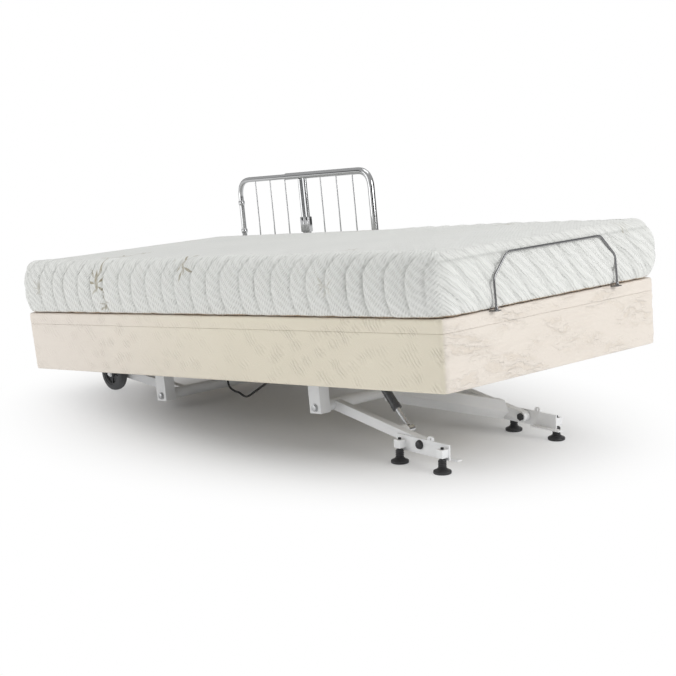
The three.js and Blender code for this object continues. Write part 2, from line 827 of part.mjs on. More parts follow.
// Places an actuator between two points of the deck group.
function actuator(group, name, tail, pin, y, side, { tubeEnd, motorLength, motorSide = 1 }) {
  const reach = new THREE.Vector2(pin[0] - tail[0], pin[1] - tail[1]);
  const holder = new THREE.Group();
  holder.position.set(tail[0], y, tail[1]);
  holder.rotation.y = -reach.angle();
  holder.add(mesh(name + "_actuator", actuatorHousing(tubeEnd, motorLength, motorSide), finish.plastic));
  holder.add(mesh(name + "_rod", actuatorPushRod(reach.length(), side), finish.chrome));
  const slide = axisMark("axis_" + name + "_rod", 0, 0, 0, Math.PI / 2);
  holder.add(slide, axisMark("axis_" + name + "_actuator", 0, 0, 0));
  group.add(holder);
}

// ---- Assembly ----
const bed = new THREE.Group();
const deck = new THREE.Group();
deck.position.set(0, 0, baseClearance);
deck.rotation.y = -pitch;
bed.add(deck);

basePanels(deck);
frameBeams(deck);
brackets(deck);
controlBox(deck);
sectionMeshes({ back: deck, seat: deck, thigh: deck, foot: deck });
deck.add(mesh("back_lever", pushLever(backHingeX, backPin, backActuatorY, 1, 9.5), finish.coat));
deck.add(mesh("thigh_lever", pushLever(thighHingeX, kneePin, kneeActuatorY, -1, 3.5), finish.coat));
deck.add(mesh("mattress_retainer", retainer(), finish.blackSteel));
deck.add(mesh("rail_bracket", railBracket(), finish.zinc));
assistRail(deck);

// Turns a point of the deck group into the floor's frame, as [x, z].
function onFloor([x, z]) {
  const cos = Math.cos(pitch);
  const sin = Math.sin(pitch);
  return [x * cos - z * sin, baseClearance + x * sin + z * cos];
}

// A leg frame turns about its bracket bolts and reaches down to a given height at its far end.
function legGroup(pivotX, length, endHeight, direction) {
  const [x, z] = onFloor([pivotX, legPivotZ]);
  const drop = Math.asin((z - endHeight) / length);
  const group = new THREE.Group();
  group.position.set(x, 0, z);
  group.rotation.y = direction > 0 ? drop : Math.PI - drop;
  bed.add(group);
  return { group, endX: x + direction * length * Math.cos(drop), drop };
}

const foot = legGroup(footPivotX, footArmLength, rockerBoltZ, 1);
const head = legGroup(headPivotX, headArmLength, wheelRadius, -1);
footLeg(foot.group);
headLeg(head.group);

// A lift actuator's pin, on its arm, in the deck's frame.
function armPoint(pivotX, drop, distance, direction) {
  const angle = drop + direction * pitch;
  return [pivotX + direction * distance * Math.cos(angle), legPivotZ - distance * Math.sin(angle)];
}

const footLiftPin = armPoint(footPivotX, foot.drop, footPushDistance, 1);
const headLiftPin = armPoint(headPivotX, head.drop, headPushDistance, -1);
const liftHousing = { tubeEnd: 222, motorLength: 60 };
const backHousing = { tubeEnd: 380, motorLength: 50 };
const kneeHousing = { tubeEnd: 290, motorLength: 50, motorSide: -1 };
actuator(deck, "foot_lift", footLiftTail, footLiftPin, footLiftY, -1, liftHousing);
actuator(deck, "head_lift", headLiftTail, headLiftPin, headLiftY, -1, liftHousing);
actuator(deck, "back", backTail, backPin, backActuatorY, 1, backHousing);
actuator(deck, "knee", kneeTail, kneePin, kneeActuatorY, -1, kneeHousing);

for (const [name, s] of sides) {
  const hub = new THREE.Group();
  hub.position.set(head.endX, 0, wheelRadius);
  wheel(hub, name, s);
  hub.add(axisMark("axis_wheel_" + name, 0, s * wheelY, 0));
  bed.add(hub);
  bed.add(mesh("rocker_foot_" + name, rockerFoot(foot.endX, s), finish.coat));
  bed.add(mesh("rocker_bolt_" + name, rockerPivotBolt(foot.endX, s), finish.bolt));
  levelerX.forEach((offset, i) => {
    const label = `leveler_${i ? "foot" : "head"}_${name}`;
    bed.add(mesh(label, leveler(foot.endX + offset, s * levelerY), finish.rubber));
  });
}

deck.add(
  axisMark("axis_back_hinge", backHingeX, 0, deckTop),
  axisMark("axis_thigh_hinge", thighHingeX, 0, deckTop),
  axisMark("axis_knee_hinge", kneeHingeX, 0, deckBottom),
  axisMark("axis_foot_leg", footPivotX, 0, legPivotZ),
  axisMark("axis_head_leg", headPivotX, 0, legPivotZ),
  axisMark("axis_rail_drop", railCentreX, railY, sleeveTop),
);
bed.add(axisMark("axis_rocker", foot.endX, 0, rockerBoltZ));

// The origin is on the floor, under the centre of everything above it.
bed.updateMatrixWorld(true);
const extent = new THREE.Box3().setFromObject(bed, true);
bed.position.set(-(extent.min.x + extent.max.x) / 2, -(extent.min.y + extent.max.y) / 2, -extent.min.z);

export default bed;
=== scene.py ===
"""A hi-lo adjustable bed: mattress, upholstered base, leg frames, actuators and rails. Metres."""

import json
import math

import bmesh
import bpy
from mathutils import Matrix, Vector, noise


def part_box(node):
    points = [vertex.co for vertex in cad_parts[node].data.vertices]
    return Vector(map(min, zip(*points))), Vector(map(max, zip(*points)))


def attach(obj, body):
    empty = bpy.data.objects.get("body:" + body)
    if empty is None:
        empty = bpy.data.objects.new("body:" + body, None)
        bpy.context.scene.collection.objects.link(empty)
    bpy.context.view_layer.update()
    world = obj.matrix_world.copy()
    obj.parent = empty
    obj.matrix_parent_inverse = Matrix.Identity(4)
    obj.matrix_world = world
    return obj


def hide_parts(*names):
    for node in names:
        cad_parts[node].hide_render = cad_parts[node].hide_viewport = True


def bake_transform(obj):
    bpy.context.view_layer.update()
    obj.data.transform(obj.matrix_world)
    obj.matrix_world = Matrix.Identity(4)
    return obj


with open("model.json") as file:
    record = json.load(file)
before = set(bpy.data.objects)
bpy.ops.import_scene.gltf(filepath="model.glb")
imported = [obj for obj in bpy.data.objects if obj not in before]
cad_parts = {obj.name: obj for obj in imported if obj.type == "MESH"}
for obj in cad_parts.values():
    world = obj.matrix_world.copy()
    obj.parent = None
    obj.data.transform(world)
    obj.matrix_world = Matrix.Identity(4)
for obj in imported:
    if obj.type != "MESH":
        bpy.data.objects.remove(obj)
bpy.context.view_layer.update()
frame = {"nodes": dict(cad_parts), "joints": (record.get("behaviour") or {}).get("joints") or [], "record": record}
nodes = frame["nodes"]
record = frame["record"]
joints = {joint["name"]: joint for joint in frame["joints"]}
body_of = {n: b for b, ns in record["behaviour"]["bodies"].items() for n in ns}

# ---- Sizes of the bed, in its own leaning frame: X to the foot, Z up from the base's underside ----
PITCH = math.radians(5.9)
HALF_LENGTH = 1.016
HALF_WIDTH = 0.453
END_TAPER = 0.011
BOX_TOP = 0.1595
DECK_BOTTOM = 0.160
DECK_TOP = 0.198
MATTRESS_BOTTOM = 0.2
MATTRESS_TOP = 0.377
MATTRESS_CORNER = 0.048
BOARD = 0.032
BASE_CORNER = 0.018
BACK_HINGE, THIGH_HINGE, KNEE_HINGE = -0.160, 0.090, 0.450
HINGED_BODIES = (
    ("back_section", "bed_base"),
    ("bed_base", "thigh_section"),
    ("thigh_section", "foot_section"),
)
SEAT_CUT = -0.035
THIGH_CUT = 0.270
RAIL_PLANE = 0.472
CAMERA_ROLL = -math.radians(1.58)

# The back hinge lies on the deck's top face, so it places the bed's frame in the floor's.
DECK = (
    Matrix.Translation(Vector(joints["back_hinge"]["pos_m"]))
    @ Matrix.Rotation(-PITCH, 4, "Y")
    @ Matrix.Translation((-BACK_HINGE, 0, -DECK_TOP))
)


def smoothstep(low, high, value):
    t = min(1.0, max(0.0, (value - low) / (high - low)))
    return t * t * (3 - 2 * t)


# ---- Material nodes ----
def finish_named(name, color, roughness, metallic=0.0, **sockets):
    """A material, its node tree and its shader, with constants on the shader's own sockets."""
    material = bpy.data.materials.new(name)
    material.use_nodes = True
    tree = material.node_tree
    shader = tree.nodes["Principled BSDF"]
    shader.inputs["Base Color"].default_value = (*color, 1)
    shader.inputs["Roughness"].default_value = roughness
    shader.inputs["Metallic"].default_value = metallic
    for key, value in sockets.items():
        shader.inputs[key.replace("_", " ")].default_value = value
    return material, tree, shader


def feed(tree, socket, value):
    """Links a socket's value, or sets a plain one."""
    if isinstance(value, bpy.types.NodeSocket):
        tree.links.new(value, socket)
    else:
        socket.default_value = value


def calc(tree, operation, first, second=0.0, clamp=False):
    node = tree.nodes.new("ShaderNodeMath")
    node.operation = operation
    node.use_clamp = clamp
    feed(tree, node.inputs[0], first)
    feed(tree, node.inputs[1], second)
    return node.outputs[0]


def vector_calc(tree, operation, first, second):
    node = tree.nodes.new("ShaderNodeVectorMath")
    node.operation = operation
    feed(tree, node.inputs[0], first)
    feed(tree, node.inputs[1], second)
    return node.outputs["Value"] if operation == "DOT_PRODUCT" else node.outputs["Vector"]


def object_space(tree):
    return tree.nodes.new("ShaderNodeTexCoord").outputs["Object"]


def map_of(tree, name):
    node = tree.nodes.new("ShaderNodeUVMap")
    node.uv_map = name
    return node.outputs["UV"]


def attribute(tree, name, output="Fac"):
    node = tree.nodes.new("ShaderNodeAttribute")
    node.attribute_name = name
    return node.outputs[output]


def grain(tree, vector, scale, detail=3.0, roughness=0.5, distortion=0.0):
    node = tree.nodes.new("ShaderNodeTexNoise")
    feed(tree, node.inputs["Vector"], vector)
    node.inputs["Scale"].default_value = scale
    node.inputs["Detail"].default_value = detail
    node.inputs["Roughness"].default_value = roughness
    node.inputs["Distortion"].default_value = distortion
    return node.outputs["Fac"]


def stretched(tree, vector, scale, turn=0.0):
    node = tree.nodes.new("ShaderNodeMapping")
    feed(tree, node.inputs["Vector"], vector)
    node.inputs["Scale"].default_value = scale
    node.inputs["Rotation"].default_value = (0, 0, turn)
    return node.outputs["Vector"]


def remap(tree, value, low, high, to_low=0.0, to_high=1.0):
    node = tree.nodes.new("ShaderNodeMapRange")
    node.interpolation_type = "SMOOTHSTEP"
    feed(tree, node.inputs["Value"], value)
    node.inputs["From Min"].default_value = low
    node.inputs["From Max"].default_value = high
    feed(tree, node.inputs["To Min"], to_low)
    feed(tree, node.inputs["To Max"], to_high)
    return node.outputs["Result"]


def mix_of(tree, kind, factor, first, second):
    """A mix of one kind of value, on the sockets the node keeps for that kind."""
    node = tree.nodes.new("ShaderNodeMix")
    node.data_type = kind
    first_of_kind = {"FLOAT": 2, "VECTOR": 4, "RGBA": 6}[kind]
    feed(tree, node.inputs[0], factor)
    feed(tree, node.inputs[first_of_kind], first)
    feed(tree, node.inputs[first_of_kind + 1], second)
    return node.outputs[{"FLOAT": 0, "VECTOR": 1, "RGBA": 2}[kind]]


def mixed(tree, factor, first, second):
    colors = [(*c, 1) if isinstance(c, tuple) else c for c in (first, second)]
    return mix_of(tree, "RGBA", factor, *colors)


def blended(tree, factor, first, second):
    return mix_of(tree, "FLOAT", factor, first, second)


def relief(tree, shader, height, depth, strength=1.0):
    """A bump of a given depth in metres."""
    node = tree.nodes.new("ShaderNodeBump")
    node.inputs["Strength"].default_value = strength
    node.inputs["Distance"].default_value = depth
    feed(tree, node.inputs["Height"], height)
    before = shader.inputs["Normal"].links
    if before:
        tree.links.new(before[0].from_socket, node.inputs["Normal"])
    tree.links.new(node.outputs["Normal"], shader.inputs["Normal"])


def ribs(tree, vector, direction, pitch, wander=None, amount=0.0):
    """Waves between -1 and 1 across a direction, one each pitch, pushed aside by a wandering value."""
    across = vector_calc(tree, "DOT_PRODUCT", vector, (*direction, 0))
    if wander is not None:
        across = calc(tree, "ADD", across, calc(tree, "MULTIPLY", wander, amount))
    return calc(tree, "SINE", calc(tree, "MULTIPLY", across, 2 * math.pi / pitch))


# ---- Cloth finishes ----
def leaf_group():
    """A pointed leaf in a flat cell: 1 inside it, given its middle, its turn and its half length."""
    group = bpy.data.node_groups.new("leaf", "ShaderNodeTree")
    inputs = (("Cell", "Vector"), ("Middle", "Vector"), ("Turn", "Float"), ("Half", "Float"))
    for label, kind in inputs:
        group.interface.new_socket(label, in_out="INPUT", socket_type="NodeSocket" + kind)
    group.interface.new_socket("Inside", in_out="OUTPUT", socket_type="NodeSocketFloat")
    given = group.nodes.new("NodeGroupInput").outputs
    out = group.nodes.new("NodeGroupOutput")
    turned = group.nodes.new("ShaderNodeVectorRotate")
    turned.rotation_type = "Z_AXIS"
    group.links.new(given["Cell"], turned.inputs["Vector"])
    group.links.new(given["Middle"], turned.inputs["Center"])
    group.links.new(given["Turn"], turned.inputs["Angle"])
    local = vector_calc(group, "SUBTRACT", turned.outputs["Vector"], given["Middle"])
    parts = group.nodes.new("ShaderNodeSeparateXYZ")
    group.links.new(local, parts.inputs[0])
    along = calc(group, "DIVIDE", parts.outputs["X"], given["Half"])
    taper = calc(group, "SUBTRACT", 1.0, calc(group, "MULTIPLY", along, along), clamp=True)
    width = calc(group, "MULTIPLY", taper, calc(group, "MULTIPLY", given["Half"], 0.2))
    edge = calc(group, "SUBTRACT", width, calc(group, "ABSOLUTE", parts.outputs["Y"]))
    group.links.new(remap(group, edge, -0.0006, 0.0008), out.inputs["Inside"])
    return group


LEAF = leaf_group()
# Leaves of one woven sprig: middle across and up its cell, turn in degrees, half length.
SPRIG = (
    (0.000, 0.006, 84, 0.034),
    (-0.019, 0.030, 138, 0.021),
    (-0.024, 0.006, 165, 0.019),
    (0.017, 0.032, 52, 0.022),
    (0.022, 0.008, 24, 0.018),
    (-0.014, -0.020, 205, 0.017),
    (0.019, -0.022, 318, 0.020),
)


def sprig_group():
    """One woven sprig about the origin of its own plane: 1 on its leaves."""
    group = bpy.data.node_groups.new("sprig", "ShaderNodeTree")
    group.interface.new_socket("Cell", in_out="INPUT", socket_type="NodeSocketVector")
    group.interface.new_socket("Inside", in_out="OUTPUT", socket_type="NodeSocketFloat")
    given = group.nodes.new("NodeGroupInput").outputs
    out = group.nodes.new("NodeGroupOutput")
    mask = 0.0
    for x, y, angle, half in SPRIG:
        leaf = group.nodes.new("ShaderNodeGroup")
        leaf.node_tree = LEAF
        group.links.new(given["Cell"], leaf.inputs["Cell"])
        leaf.inputs["Middle"].default_value = (x, y, 0)
        leaf.inputs["Turn"].default_value = -math.radians(angle)
        leaf.inputs["Half"].default_value = half
        mask = calc(group, "MAXIMUM", leaf.outputs["Inside"], mask)
    group.links.new(mask, out.inputs["Inside"])
    return group


SPRIG_GROUP = sprig_group()
SPRIG_REACH = 0.058
# Sprigs on the mattress's sides: distance from the middle of the foot end, height, turn, size, strength.
SIDE_SPRIGS = (
    (-1.986, 0.302, 8, 1.15, 0.85),
    (-1.957, 0.232, 150, 0.7, 0.6),
    (-1.527, 0.362, 200, 1.0, 0.8),
    (-2.352, 0.285, 5, 0.75, 0.35),
    (-0.858, 0.288, 80, 0.8, 0.3),
    (0.330, 0.366, 110, 0.6, 0.4),
    (0.905, 0.300, 170, 1.0, 0.6),
    (1.540, 0.262, 20, 1.1, 0.75),
    (2.120, 0.340, 215, 0.9, 0.6),
    (2.690, 0.290, 12, 1.0, 0.6),
)
# Sprigs on its top: along, across, turn, size, strength.
TOP_SPRIGS = (
    (-0.72, -0.22, 40, 1.0, 0.3),
    (-0.45, 0.16, 190, 0.9, 0.3),
    (-0.08, -0.30, 300, 1.0, 0.35),
    (0.30, 0.10, 75, 1.0, 0.3),
    (0.62, -0.20, 160, 0.9, 0.3),
    (0.80, 0.27, 20, 1.0, 0.3),
)


def sprigs(tree, vector, places):
    """Placed leaf sprigs as a mask, each with its own strength.

    Only one sprig is drawn, in the plane of whichever place is near by.
    """
    nearest = (9.0, 9.0, 0.0)
    strongest = 0.0
    for along, across, angle, size, strength in places:
        place = tree.nodes.new("ShaderNodeMapping")
        place.vector_type = "TEXTURE"
        tree.links.new(vector, place.inputs["Vector"])
        place.inputs["Location"].default_value = (along, across, 0)
        place.inputs["Rotation"].default_value = (0, 0, math.radians(angle))
        place.inputs["Scale"].default_value = (size, size, 1)
        local = place.outputs["Vector"]
        distance = tree.nodes.new("ShaderNodeVectorMath")
        distance.operation = "LENGTH"
        tree.links.new(local, distance.inputs[0])
        here = calc(tree, "LESS_THAN", distance.outputs["Value"], SPRIG_REACH)
        nearest = mix_of(tree, "VECTOR", here, nearest, local)
        strongest = blended(tree, here, strongest, strength)
    sprig = tree.nodes.new("ShaderNodeGroup")
    sprig.node_tree = SPRIG_GROUP
    tree.links.new(nearest, sprig.inputs["Cell"])
    return calc(tree, "MULTIPLY", sprig.outputs["Inside"], strongest)


def mattress_knit():
    """White ribbed knit with faint tan sprigs, and a tan tape round the bottom edge."""
    material, tree, shader = finish_named(
        "mattress_knit", (0.8, 0.8, 0.77), 0.92, Sheen_Weight=0.2, Sheen_Roughness=0.5
    )
    band = map_of(tree, "band")
    deck = attribute(tree, "deck", "Vector")
    side = attribute(tree, "side")
    end = attribute(tree, "end")
    wander = grain(tree, band, 16.0, 2.0)
    rising = ribs(tree, band, (0.74, -0.67), 0.0082, wander, 0.014)
    falling = ribs(tree, band, (0.7, 0.71), 0.0082, wander, 0.014)
    cross = ribs(tree, band, (0.62, 0.78), 0.021, wander, 0.03)
    hatch = blended(tree, end, rising, falling)
    side_height = calc(tree, "MULTIPLY", hatch, remap(tree, cross, -0.7, 0.4, 0.35, 1.0))
    drift = grain(tree, deck, 9.0, 2.0)
    rows = ribs(tree, deck, (1.0, 0.28), 0.0105, drift, 0.03)
    breaks = ribs(tree, deck, (0.3, -1.0), 0.026, drift, 0.06)
    top_height = calc(tree, "MULTIPLY", rows, remap(tree, breaks, -0.5, 0.5, 0.1, 1.0))
    height = blended(tree, side, top_height, side_height)
    fleece = grain(tree, deck, 900.0, 2.0, 0.7)
    on_side = sprigs(tree, band, SIDE_SPRIGS)
    off_side = calc(tree, "SUBTRACT", 1.0, side)
    on_top = calc(tree, "MULTIPLY", sprigs(tree, deck, TOP_SPRIGS), off_side)
    leaves = calc(tree, "MAXIMUM", on_side, on_top)
    patchy = remap(tree, grain(tree, deck, 60.0, 3.0), 0.3, 0.6, 0.45, 1.0)
    cloudy = mixed(tree, grain(tree, deck, 3.0, 3.0), (0.7, 0.71, 0.685), (0.79, 0.795, 0.77))
    # Painted shade: the knit's colour darkens in the valleys of the quilting seams.
    painted_seam_shade = calc(tree, "MULTIPLY", attribute(tree, "seam"), 0.4)
    quilted = mixed(tree, painted_seam_shade, cloudy, (0.36, 0.37, 0.35))
    # Painted shade: the colour darkens in the troughs of the knit's ribs, more on the sides than on the ends.
    rib_shade_strength = blended(tree, end, 0.34, 0.13)
    between = calc(tree, "MULTIPLY", remap(tree, height, -1.0, 0.2, 1.0, 0.0), rib_shade_strength)
    rib_trough_shaded = mixed(tree, between, quilted, (0.42, 0.43, 0.4))
    woven = mixed(tree, calc(tree, "MULTIPLY", leaves, patchy), rib_trough_shaded, (0.3, 0.26, 0.17))
    height_above = tree.nodes.new("ShaderNodeSeparateXYZ")
    tree.links.new(deck, height_above.inputs[0])
    ragged = calc(tree, "MULTIPLY", grain(tree, band, 9.0, 3.0), 0.009)
    level = calc(tree, "ADD", height_above.outputs["Z"], ragged)
    low = remap(tree, level, MATTRESS_BOTTOM + 0.006, MATTRESS_BOTTOM + 0.0105, 1.0, 0.0)
    taped = mixed(tree, low, woven, (0.36, 0.24, 0.13))
    tree.links.new(taped, shader.inputs["Base Color"])
    relief(tree, shader, calc(tree, "ADD", height, calc(tree, "MULTIPLY", leaves, 0.5)), 0.001)
    relief(tree, shader, fleece, 0.0003, 0.6)
    return material


def base_cloth():
    """Cream woven cover: clusters of short slanting stitches on the sides, level wrinkles on the ends."""
    material, tree, shader = finish_named(
        "base_cloth", (0.78, 0.71, 0.6), 0.88, Sheen_Weight=0.25, Sheen_Roughness=0.45
    )
    band = map_of(tree, "band")
    deck = attribute(tree, "deck", "Vector")
    end = attribute(tree, "end")
    wander = grain(tree, stretched(tree, band, (5.0, 9.0, 1.0)), 1.6, 4.0, 0.6)
    patches = grain(tree, stretched(tree, band, (6.0, 14.0, 1.0)), 1.0, 2.0)
    broken = remap(tree, patches, 0.4, 0.6, 0.15, 1.0)
    level = calc(tree, "MULTIPLY", ribs(tree, band, (0.1, 1.0), 0.03, wander, 0.13), broken)
    swirl = grain(tree, stretched(tree, band, (9.0, 6.0, 1.0)), 1.7, 3.0, 0.55)
    strokes = ribs(tree, band, (0.8, 0.6), 0.0125, swirl, 0.045)
    scales = tree.nodes.new("ShaderNodeTexVoronoi")
    scales.voronoi_dimensions = "2D"
    scales.inputs["Scale"].default_value = 14.0
    tree.links.new(stretched(tree, band, (1.0, 1.5, 1.0)), scales.inputs["Vector"])
    clusters = remap(tree, scales.outputs["Distance"], 0.15, 0.55, 1.0, 0.0)
    drift = remap(tree, grain(tree, band, 2.4, 2.0), 0.35, 0.65, 0.35, 1.0)
    fainter = calc(tree, "MULTIPLY", strokes, calc(tree, "MULTIPLY", clusters, drift))
    lines = blended(tree, end, fainter, level)
    # Painted shade: the cloth darkens towards brown in the troughs of its wrinkles and slanting strokes.
    crease = remap(tree, lines, -1.0, -0.2, blended(tree, end, 0.09, 0.2), 0.0)
    thread = calc(
        tree, "MULTIPLY", ribs(tree, band, (1.0, 0.0), 0.0016), ribs(tree, band, (0.0, 1.0), 0.0016)
    )
    place = tree.nodes.new("ShaderNodeSeparateXYZ")
    tree.links.new(deck, place.inputs[0])
    along_side = calc(tree, "SUBTRACT", 1.0, end)
    # The long sides turn yellower towards the foot end.
    yellower_to_foot = calc(tree, "MULTIPLY", remap(tree, place.outputs["X"], -0.9, 0.3), along_side)
    paler_cream = mixed(tree, grain(tree, band, 3.2, 3.0), (0.73, 0.668, 0.6), (0.79, 0.73, 0.66))
    yellower_cream = mixed(tree, grain(tree, band, 3.2, 3.0), (0.72, 0.665, 0.54), (0.785, 0.73, 0.6))
    plain = mixed(tree, yellower_to_foot, paler_cream, yellower_cream)
    shaded = mixed(tree, crease, plain, (0.56, 0.47, 0.36))
    tree.links.new(shaded, shader.inputs["Base Color"])
    relief(tree, shader, calc(tree, "MULTIPLY", lines, blended(tree, end, 0.55, 1.0)), 0.0024, 0.8)
    relief(tree, shader, thread, 0.0002, 0.5)
    return material


def inner_cloth():
    """The unquilted lining inside the base."""
    material, tree, shader = finish_named("lining", (0.32, 0.3, 0.27), 0.95, Sheen_Weight=0.2)
    place = object_space(tree)
    tone = grain(tree, place, 40.0, 4.0)
    tree.links.new(mixed(tree, tone, (0.27, 0.25, 0.22), (0.38, 0.36, 0.32)), shader.inputs["Base Color"])
    relief(tree, shader, grain(tree, place, 1200.0, 2.0), 0.0003, 0.7)
    return material


# ---- Hard finishes ----
def coat(name, color, darker, roughness, **sockets):
    """Powder coat: a fine orange peel, faint clouding and scuffs."""
    material, tree, shader = finish_named(name, color, roughness, **sockets)
    place = object_space(tree)
    cloud = grain(tree, place, 7.0, 4.0)
    scuffs = remap(tree, grain(tree, stretched(tree, place, (1, 1, 4)), 60.0, 5.0, 0.7), 0.62, 0.74)
    tone = mixed(tree, remap(tree, cloud, 0.3, 0.7), color, darker)
    worn = mixed(tree, calc(tree, "MULTIPLY", scuffs, 0.25), tone, tuple(c * 0.6 for c in darker))
    tree.links.new(worn, shader.inputs["Base Color"])
    dull = remap(tree, cloud, 0.25, 0.75, roughness - 0.08, roughness + 0.1)
    tree.links.new(dull, shader.inputs["Roughness"])
    relief(tree, shader, grain(tree, place, 700.0, 2.0), 0.0002, 0.35)
    return material


def bright_metal(name, color, roughness, brushed=0.0):
    """Plated or ground metal: fine scratches and slightly cloudy polish."""
    material, tree, shader = finish_named(name, color, roughness, 1.0)
    place = object_space(tree)
    scratch = grain(tree, stretched(tree, place, (1, 1, 30)), 90.0, 4.0, 0.6)
    cloud = grain(tree, place, 14.0, 3.0)
    dull = remap(tree, cloud, 0.3, 0.7, roughness * 0.7, roughness * 1.5 + 0.02)
    tree.links.new(dull, shader.inputs["Roughness"])
    dim = tuple(c * 0.86 for c in color)
    tree.links.new(mixed(tree, remap(tree, scratch, 0.35, 0.7), color, dim), shader.inputs["Base Color"])
    relief(tree, shader, scratch, 0.00008, 0.25 + brushed)
    return material


def moulded(name, color, roughness, grain_scale=900.0):
    """Moulded plastic or rubber: a fine grain with dusty, slightly lighter patches."""
    material, tree, shader = finish_named(name, color, roughness)
    place = object_space(tree)
    dust = remap(tree, grain(tree, place, 22.0, 5.0, 0.65), 0.45, 0.75)
    pale = tuple(min(1.0, c * 1.7 + 0.02) for c in color)
    tree.links.new(mixed(tree, calc(tree, "MULTIPLY", dust, 0.6), color, pale), shader.inputs["Base Color"])
    rough = remap(tree, dust, 0.0, 1.0, roughness, min(0.95, roughness + 0.2))
    tree.links.new(rough, shader.inputs["Roughness"])
    relief(tree, shader, grain(tree, place, grain_scale, 2.0), 0.0002, 0.5)
    return material


KNIT = mattress_knit()
CLOTH = base_cloth()
LINING = inner_cloth()
COAT = coat("powder_coat", (0.88, 0.885, 0.89), (0.8, 0.81, 0.82), 0.36)
CHROME = bright_metal("chrome", (0.5, 0.505, 0.51), 0.07)
ROD_STEEL = bright_metal("ground_steel", (0.74, 0.75, 0.76), 0.16, 0.2)
NICKEL = bright_metal("black_nickel", (0.24, 0.24, 0.245), 0.2)
ZINC = bright_metal("zinc_plate", (0.62, 0.63, 0.64), 0.32, 0.3)
OXIDE = coat("black_oxide", (0.022, 0.022, 0.024), (0.035, 0.035, 0.037), 0.36)
BLACK = moulded("black_plastic", (0.018, 0.018, 0.02), 0.45)
SLEEVE = coat("sleeve_paint", (0.085, 0.086, 0.09), (0.06, 0.06, 0.063), 0.28)
JACKET = moulded("lead_jacket", (0.012, 0.012, 0.013), 0.5, 1600.0)
PAD = moulded("leveler_plastic", (0.02, 0.02, 0.022), 0.42)
TYRE = moulded("tyre_rubber", (0.07, 0.072, 0.075), 0.7, 500.0)
HUB = moulded("hub_plastic", (0.055, 0.057, 0.06), 0.5)


# ---- Making pieces ----
def piece(bm, name, materials, body=None, stands_for=(), crease=35):
    """A finished bmesh as an object at the origin, riding on a body."""
    mesh = bpy.data.meshes.new(name)
    bm.to_mesh(mesh)
    bm.free()
    for material in materials if isinstance(materials, (list, tuple)) else [materials]:
        mesh.materials.append(material)
    mesh.polygons.foreach_set("use_smooth", [True] * len(mesh.polygons))
    mesh.set_sharp_from_angle(angle=math.radians(crease))
    made = bpy.data.objects.new(name, mesh)
    bpy.context.scene.collection.objects.link(made)
    if body:
        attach(made, body)
    if stands_for:
        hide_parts(*stands_for)
    return made


def eased(bm, width, segments=2, angle=30):
    """Rounds off every edge that turns by more than an angle."""
    sharp = [
        e for e in bm.edges if len(e.link_faces) == 2 and e.calc_face_angle(0) > math.radians(angle)
    ]
    bmesh.ops.bevel(
        bm,
        geom=sharp,
        offset=width,
        segments=segments,
        affect="EDGES",
        profile=0.5,
        material=-1,
        clamp_overlap=True,
    )


def closed_piece(bm, name, material, body, stands_for, crease=40, place=None):
    """A piece made of closed shapes, with its faces turned outwards and then put in its place."""
    bmesh.ops.recalc_face_normals(bm, faces=bm.faces)
    if place is not None:
        bm.transform(place)
    return piece(bm, name, material, body, stands_for, crease)


def stand_in(bm, node, ending, material, crease=40, place=None):
    """A closed piece that replaces one node, on its body."""
    return closed_piece(
        bm, node + ending, material, body_of[node], [node], crease, place
    )


def softened(node, material, width=0.0009, segments=2, angle=30):
    """A hard part that keeps its frame solid's shape, with its edges broken."""
    bm = bmesh.new()
    bm.from_mesh(nodes[node].data)
    bmesh.ops.remove_doubles(bm, verts=bm.verts, dist=2e-5)
    bmesh.ops.dissolve_limit(bm, angle_limit=math.radians(1.5), verts=bm.verts, edges=bm.edges)
    eased(bm, width, segments, angle)
    return piece(bm, node + "_finished", material, body_of[node], [node])


def bevelled_box(bm, place, size, width, segments=2):
    """Adds a box with rounded edges about a place."""
    made = bmesh.ops.create_cube(bm, size=1.0, matrix=place @ Matrix.Diagonal((*size, 1)))
    edges = list({e for v in made["verts"] for e in v.link_edges})
    bmesh.ops.bevel(
        bm, geom=edges, offset=width, segments=segments, affect="EDGES", profile=0.5, material=-1
    )


def turned(bm, profile, axis_from, axis, steps=40):
    """Spins a profile of (radius, along) about an axis through a point."""
    axis = Vector(axis).normalized()
    across = axis.orthogonal().normalized()
    verts = [bm.verts.new(Vector(axis_from) + across * r + axis * h) for r, h in profile]
    edges = [bm.edges.new(pair) for pair in zip(verts, verts[1:])]
    spun = bmesh.ops.spin(
        bm,
        geom=verts + edges,
        cent=axis_from,
        axis=axis,
        angle=2 * math.pi,
        steps=steps,
        use_merge=True,
        use_duplicate=False,
    )
    bmesh.ops.remove_doubles(bm, verts=bm.verts, dist=1e-6)
    return spun


def hexagon(bm, centre, axis, radius, height):
    """A chamfered hexagon head standing on a point along an axis."""
    axis = Vector(axis).normalized()
    turn = Vector((0, 0, 1)).rotation_difference(axis).to_matrix().to_4x4()
    place = Matrix.Translation(Vector(centre) + axis * height / 2) @ turn
    head = bmesh.ops.create_cone(
        bm, cap_ends=True, segments=6, radius1=radius, radius2=radius, depth=height, matrix=place
    )
    edges = {e for v in head["verts"] for e in v.link_edges}
    bmesh.ops.bevel(
        bm, geom=list(edges), offset=radius * 0.09, segments=2, affect="EDGES", profile=0.5, material=-1
    )


def rounded_route(points, bend, steps=8):
    """Points of a route through corners, each rounded off over a distance."""
    corners = [Vector(p) for p in points]
    route = [corners[0]]
    for before, corner, after in zip(corners, corners[1:], corners[2:]):
        start = corner + (before - corner).normalized() * bend
        stop = corner + (after - corner).normalized() * bend
        for i in range(steps + 1):
            t = i / steps
            route.append(start * (1 - t) ** 2 + corner * 2 * t * (1 - t) + stop * t**2)
    return route + [corners[-1]]


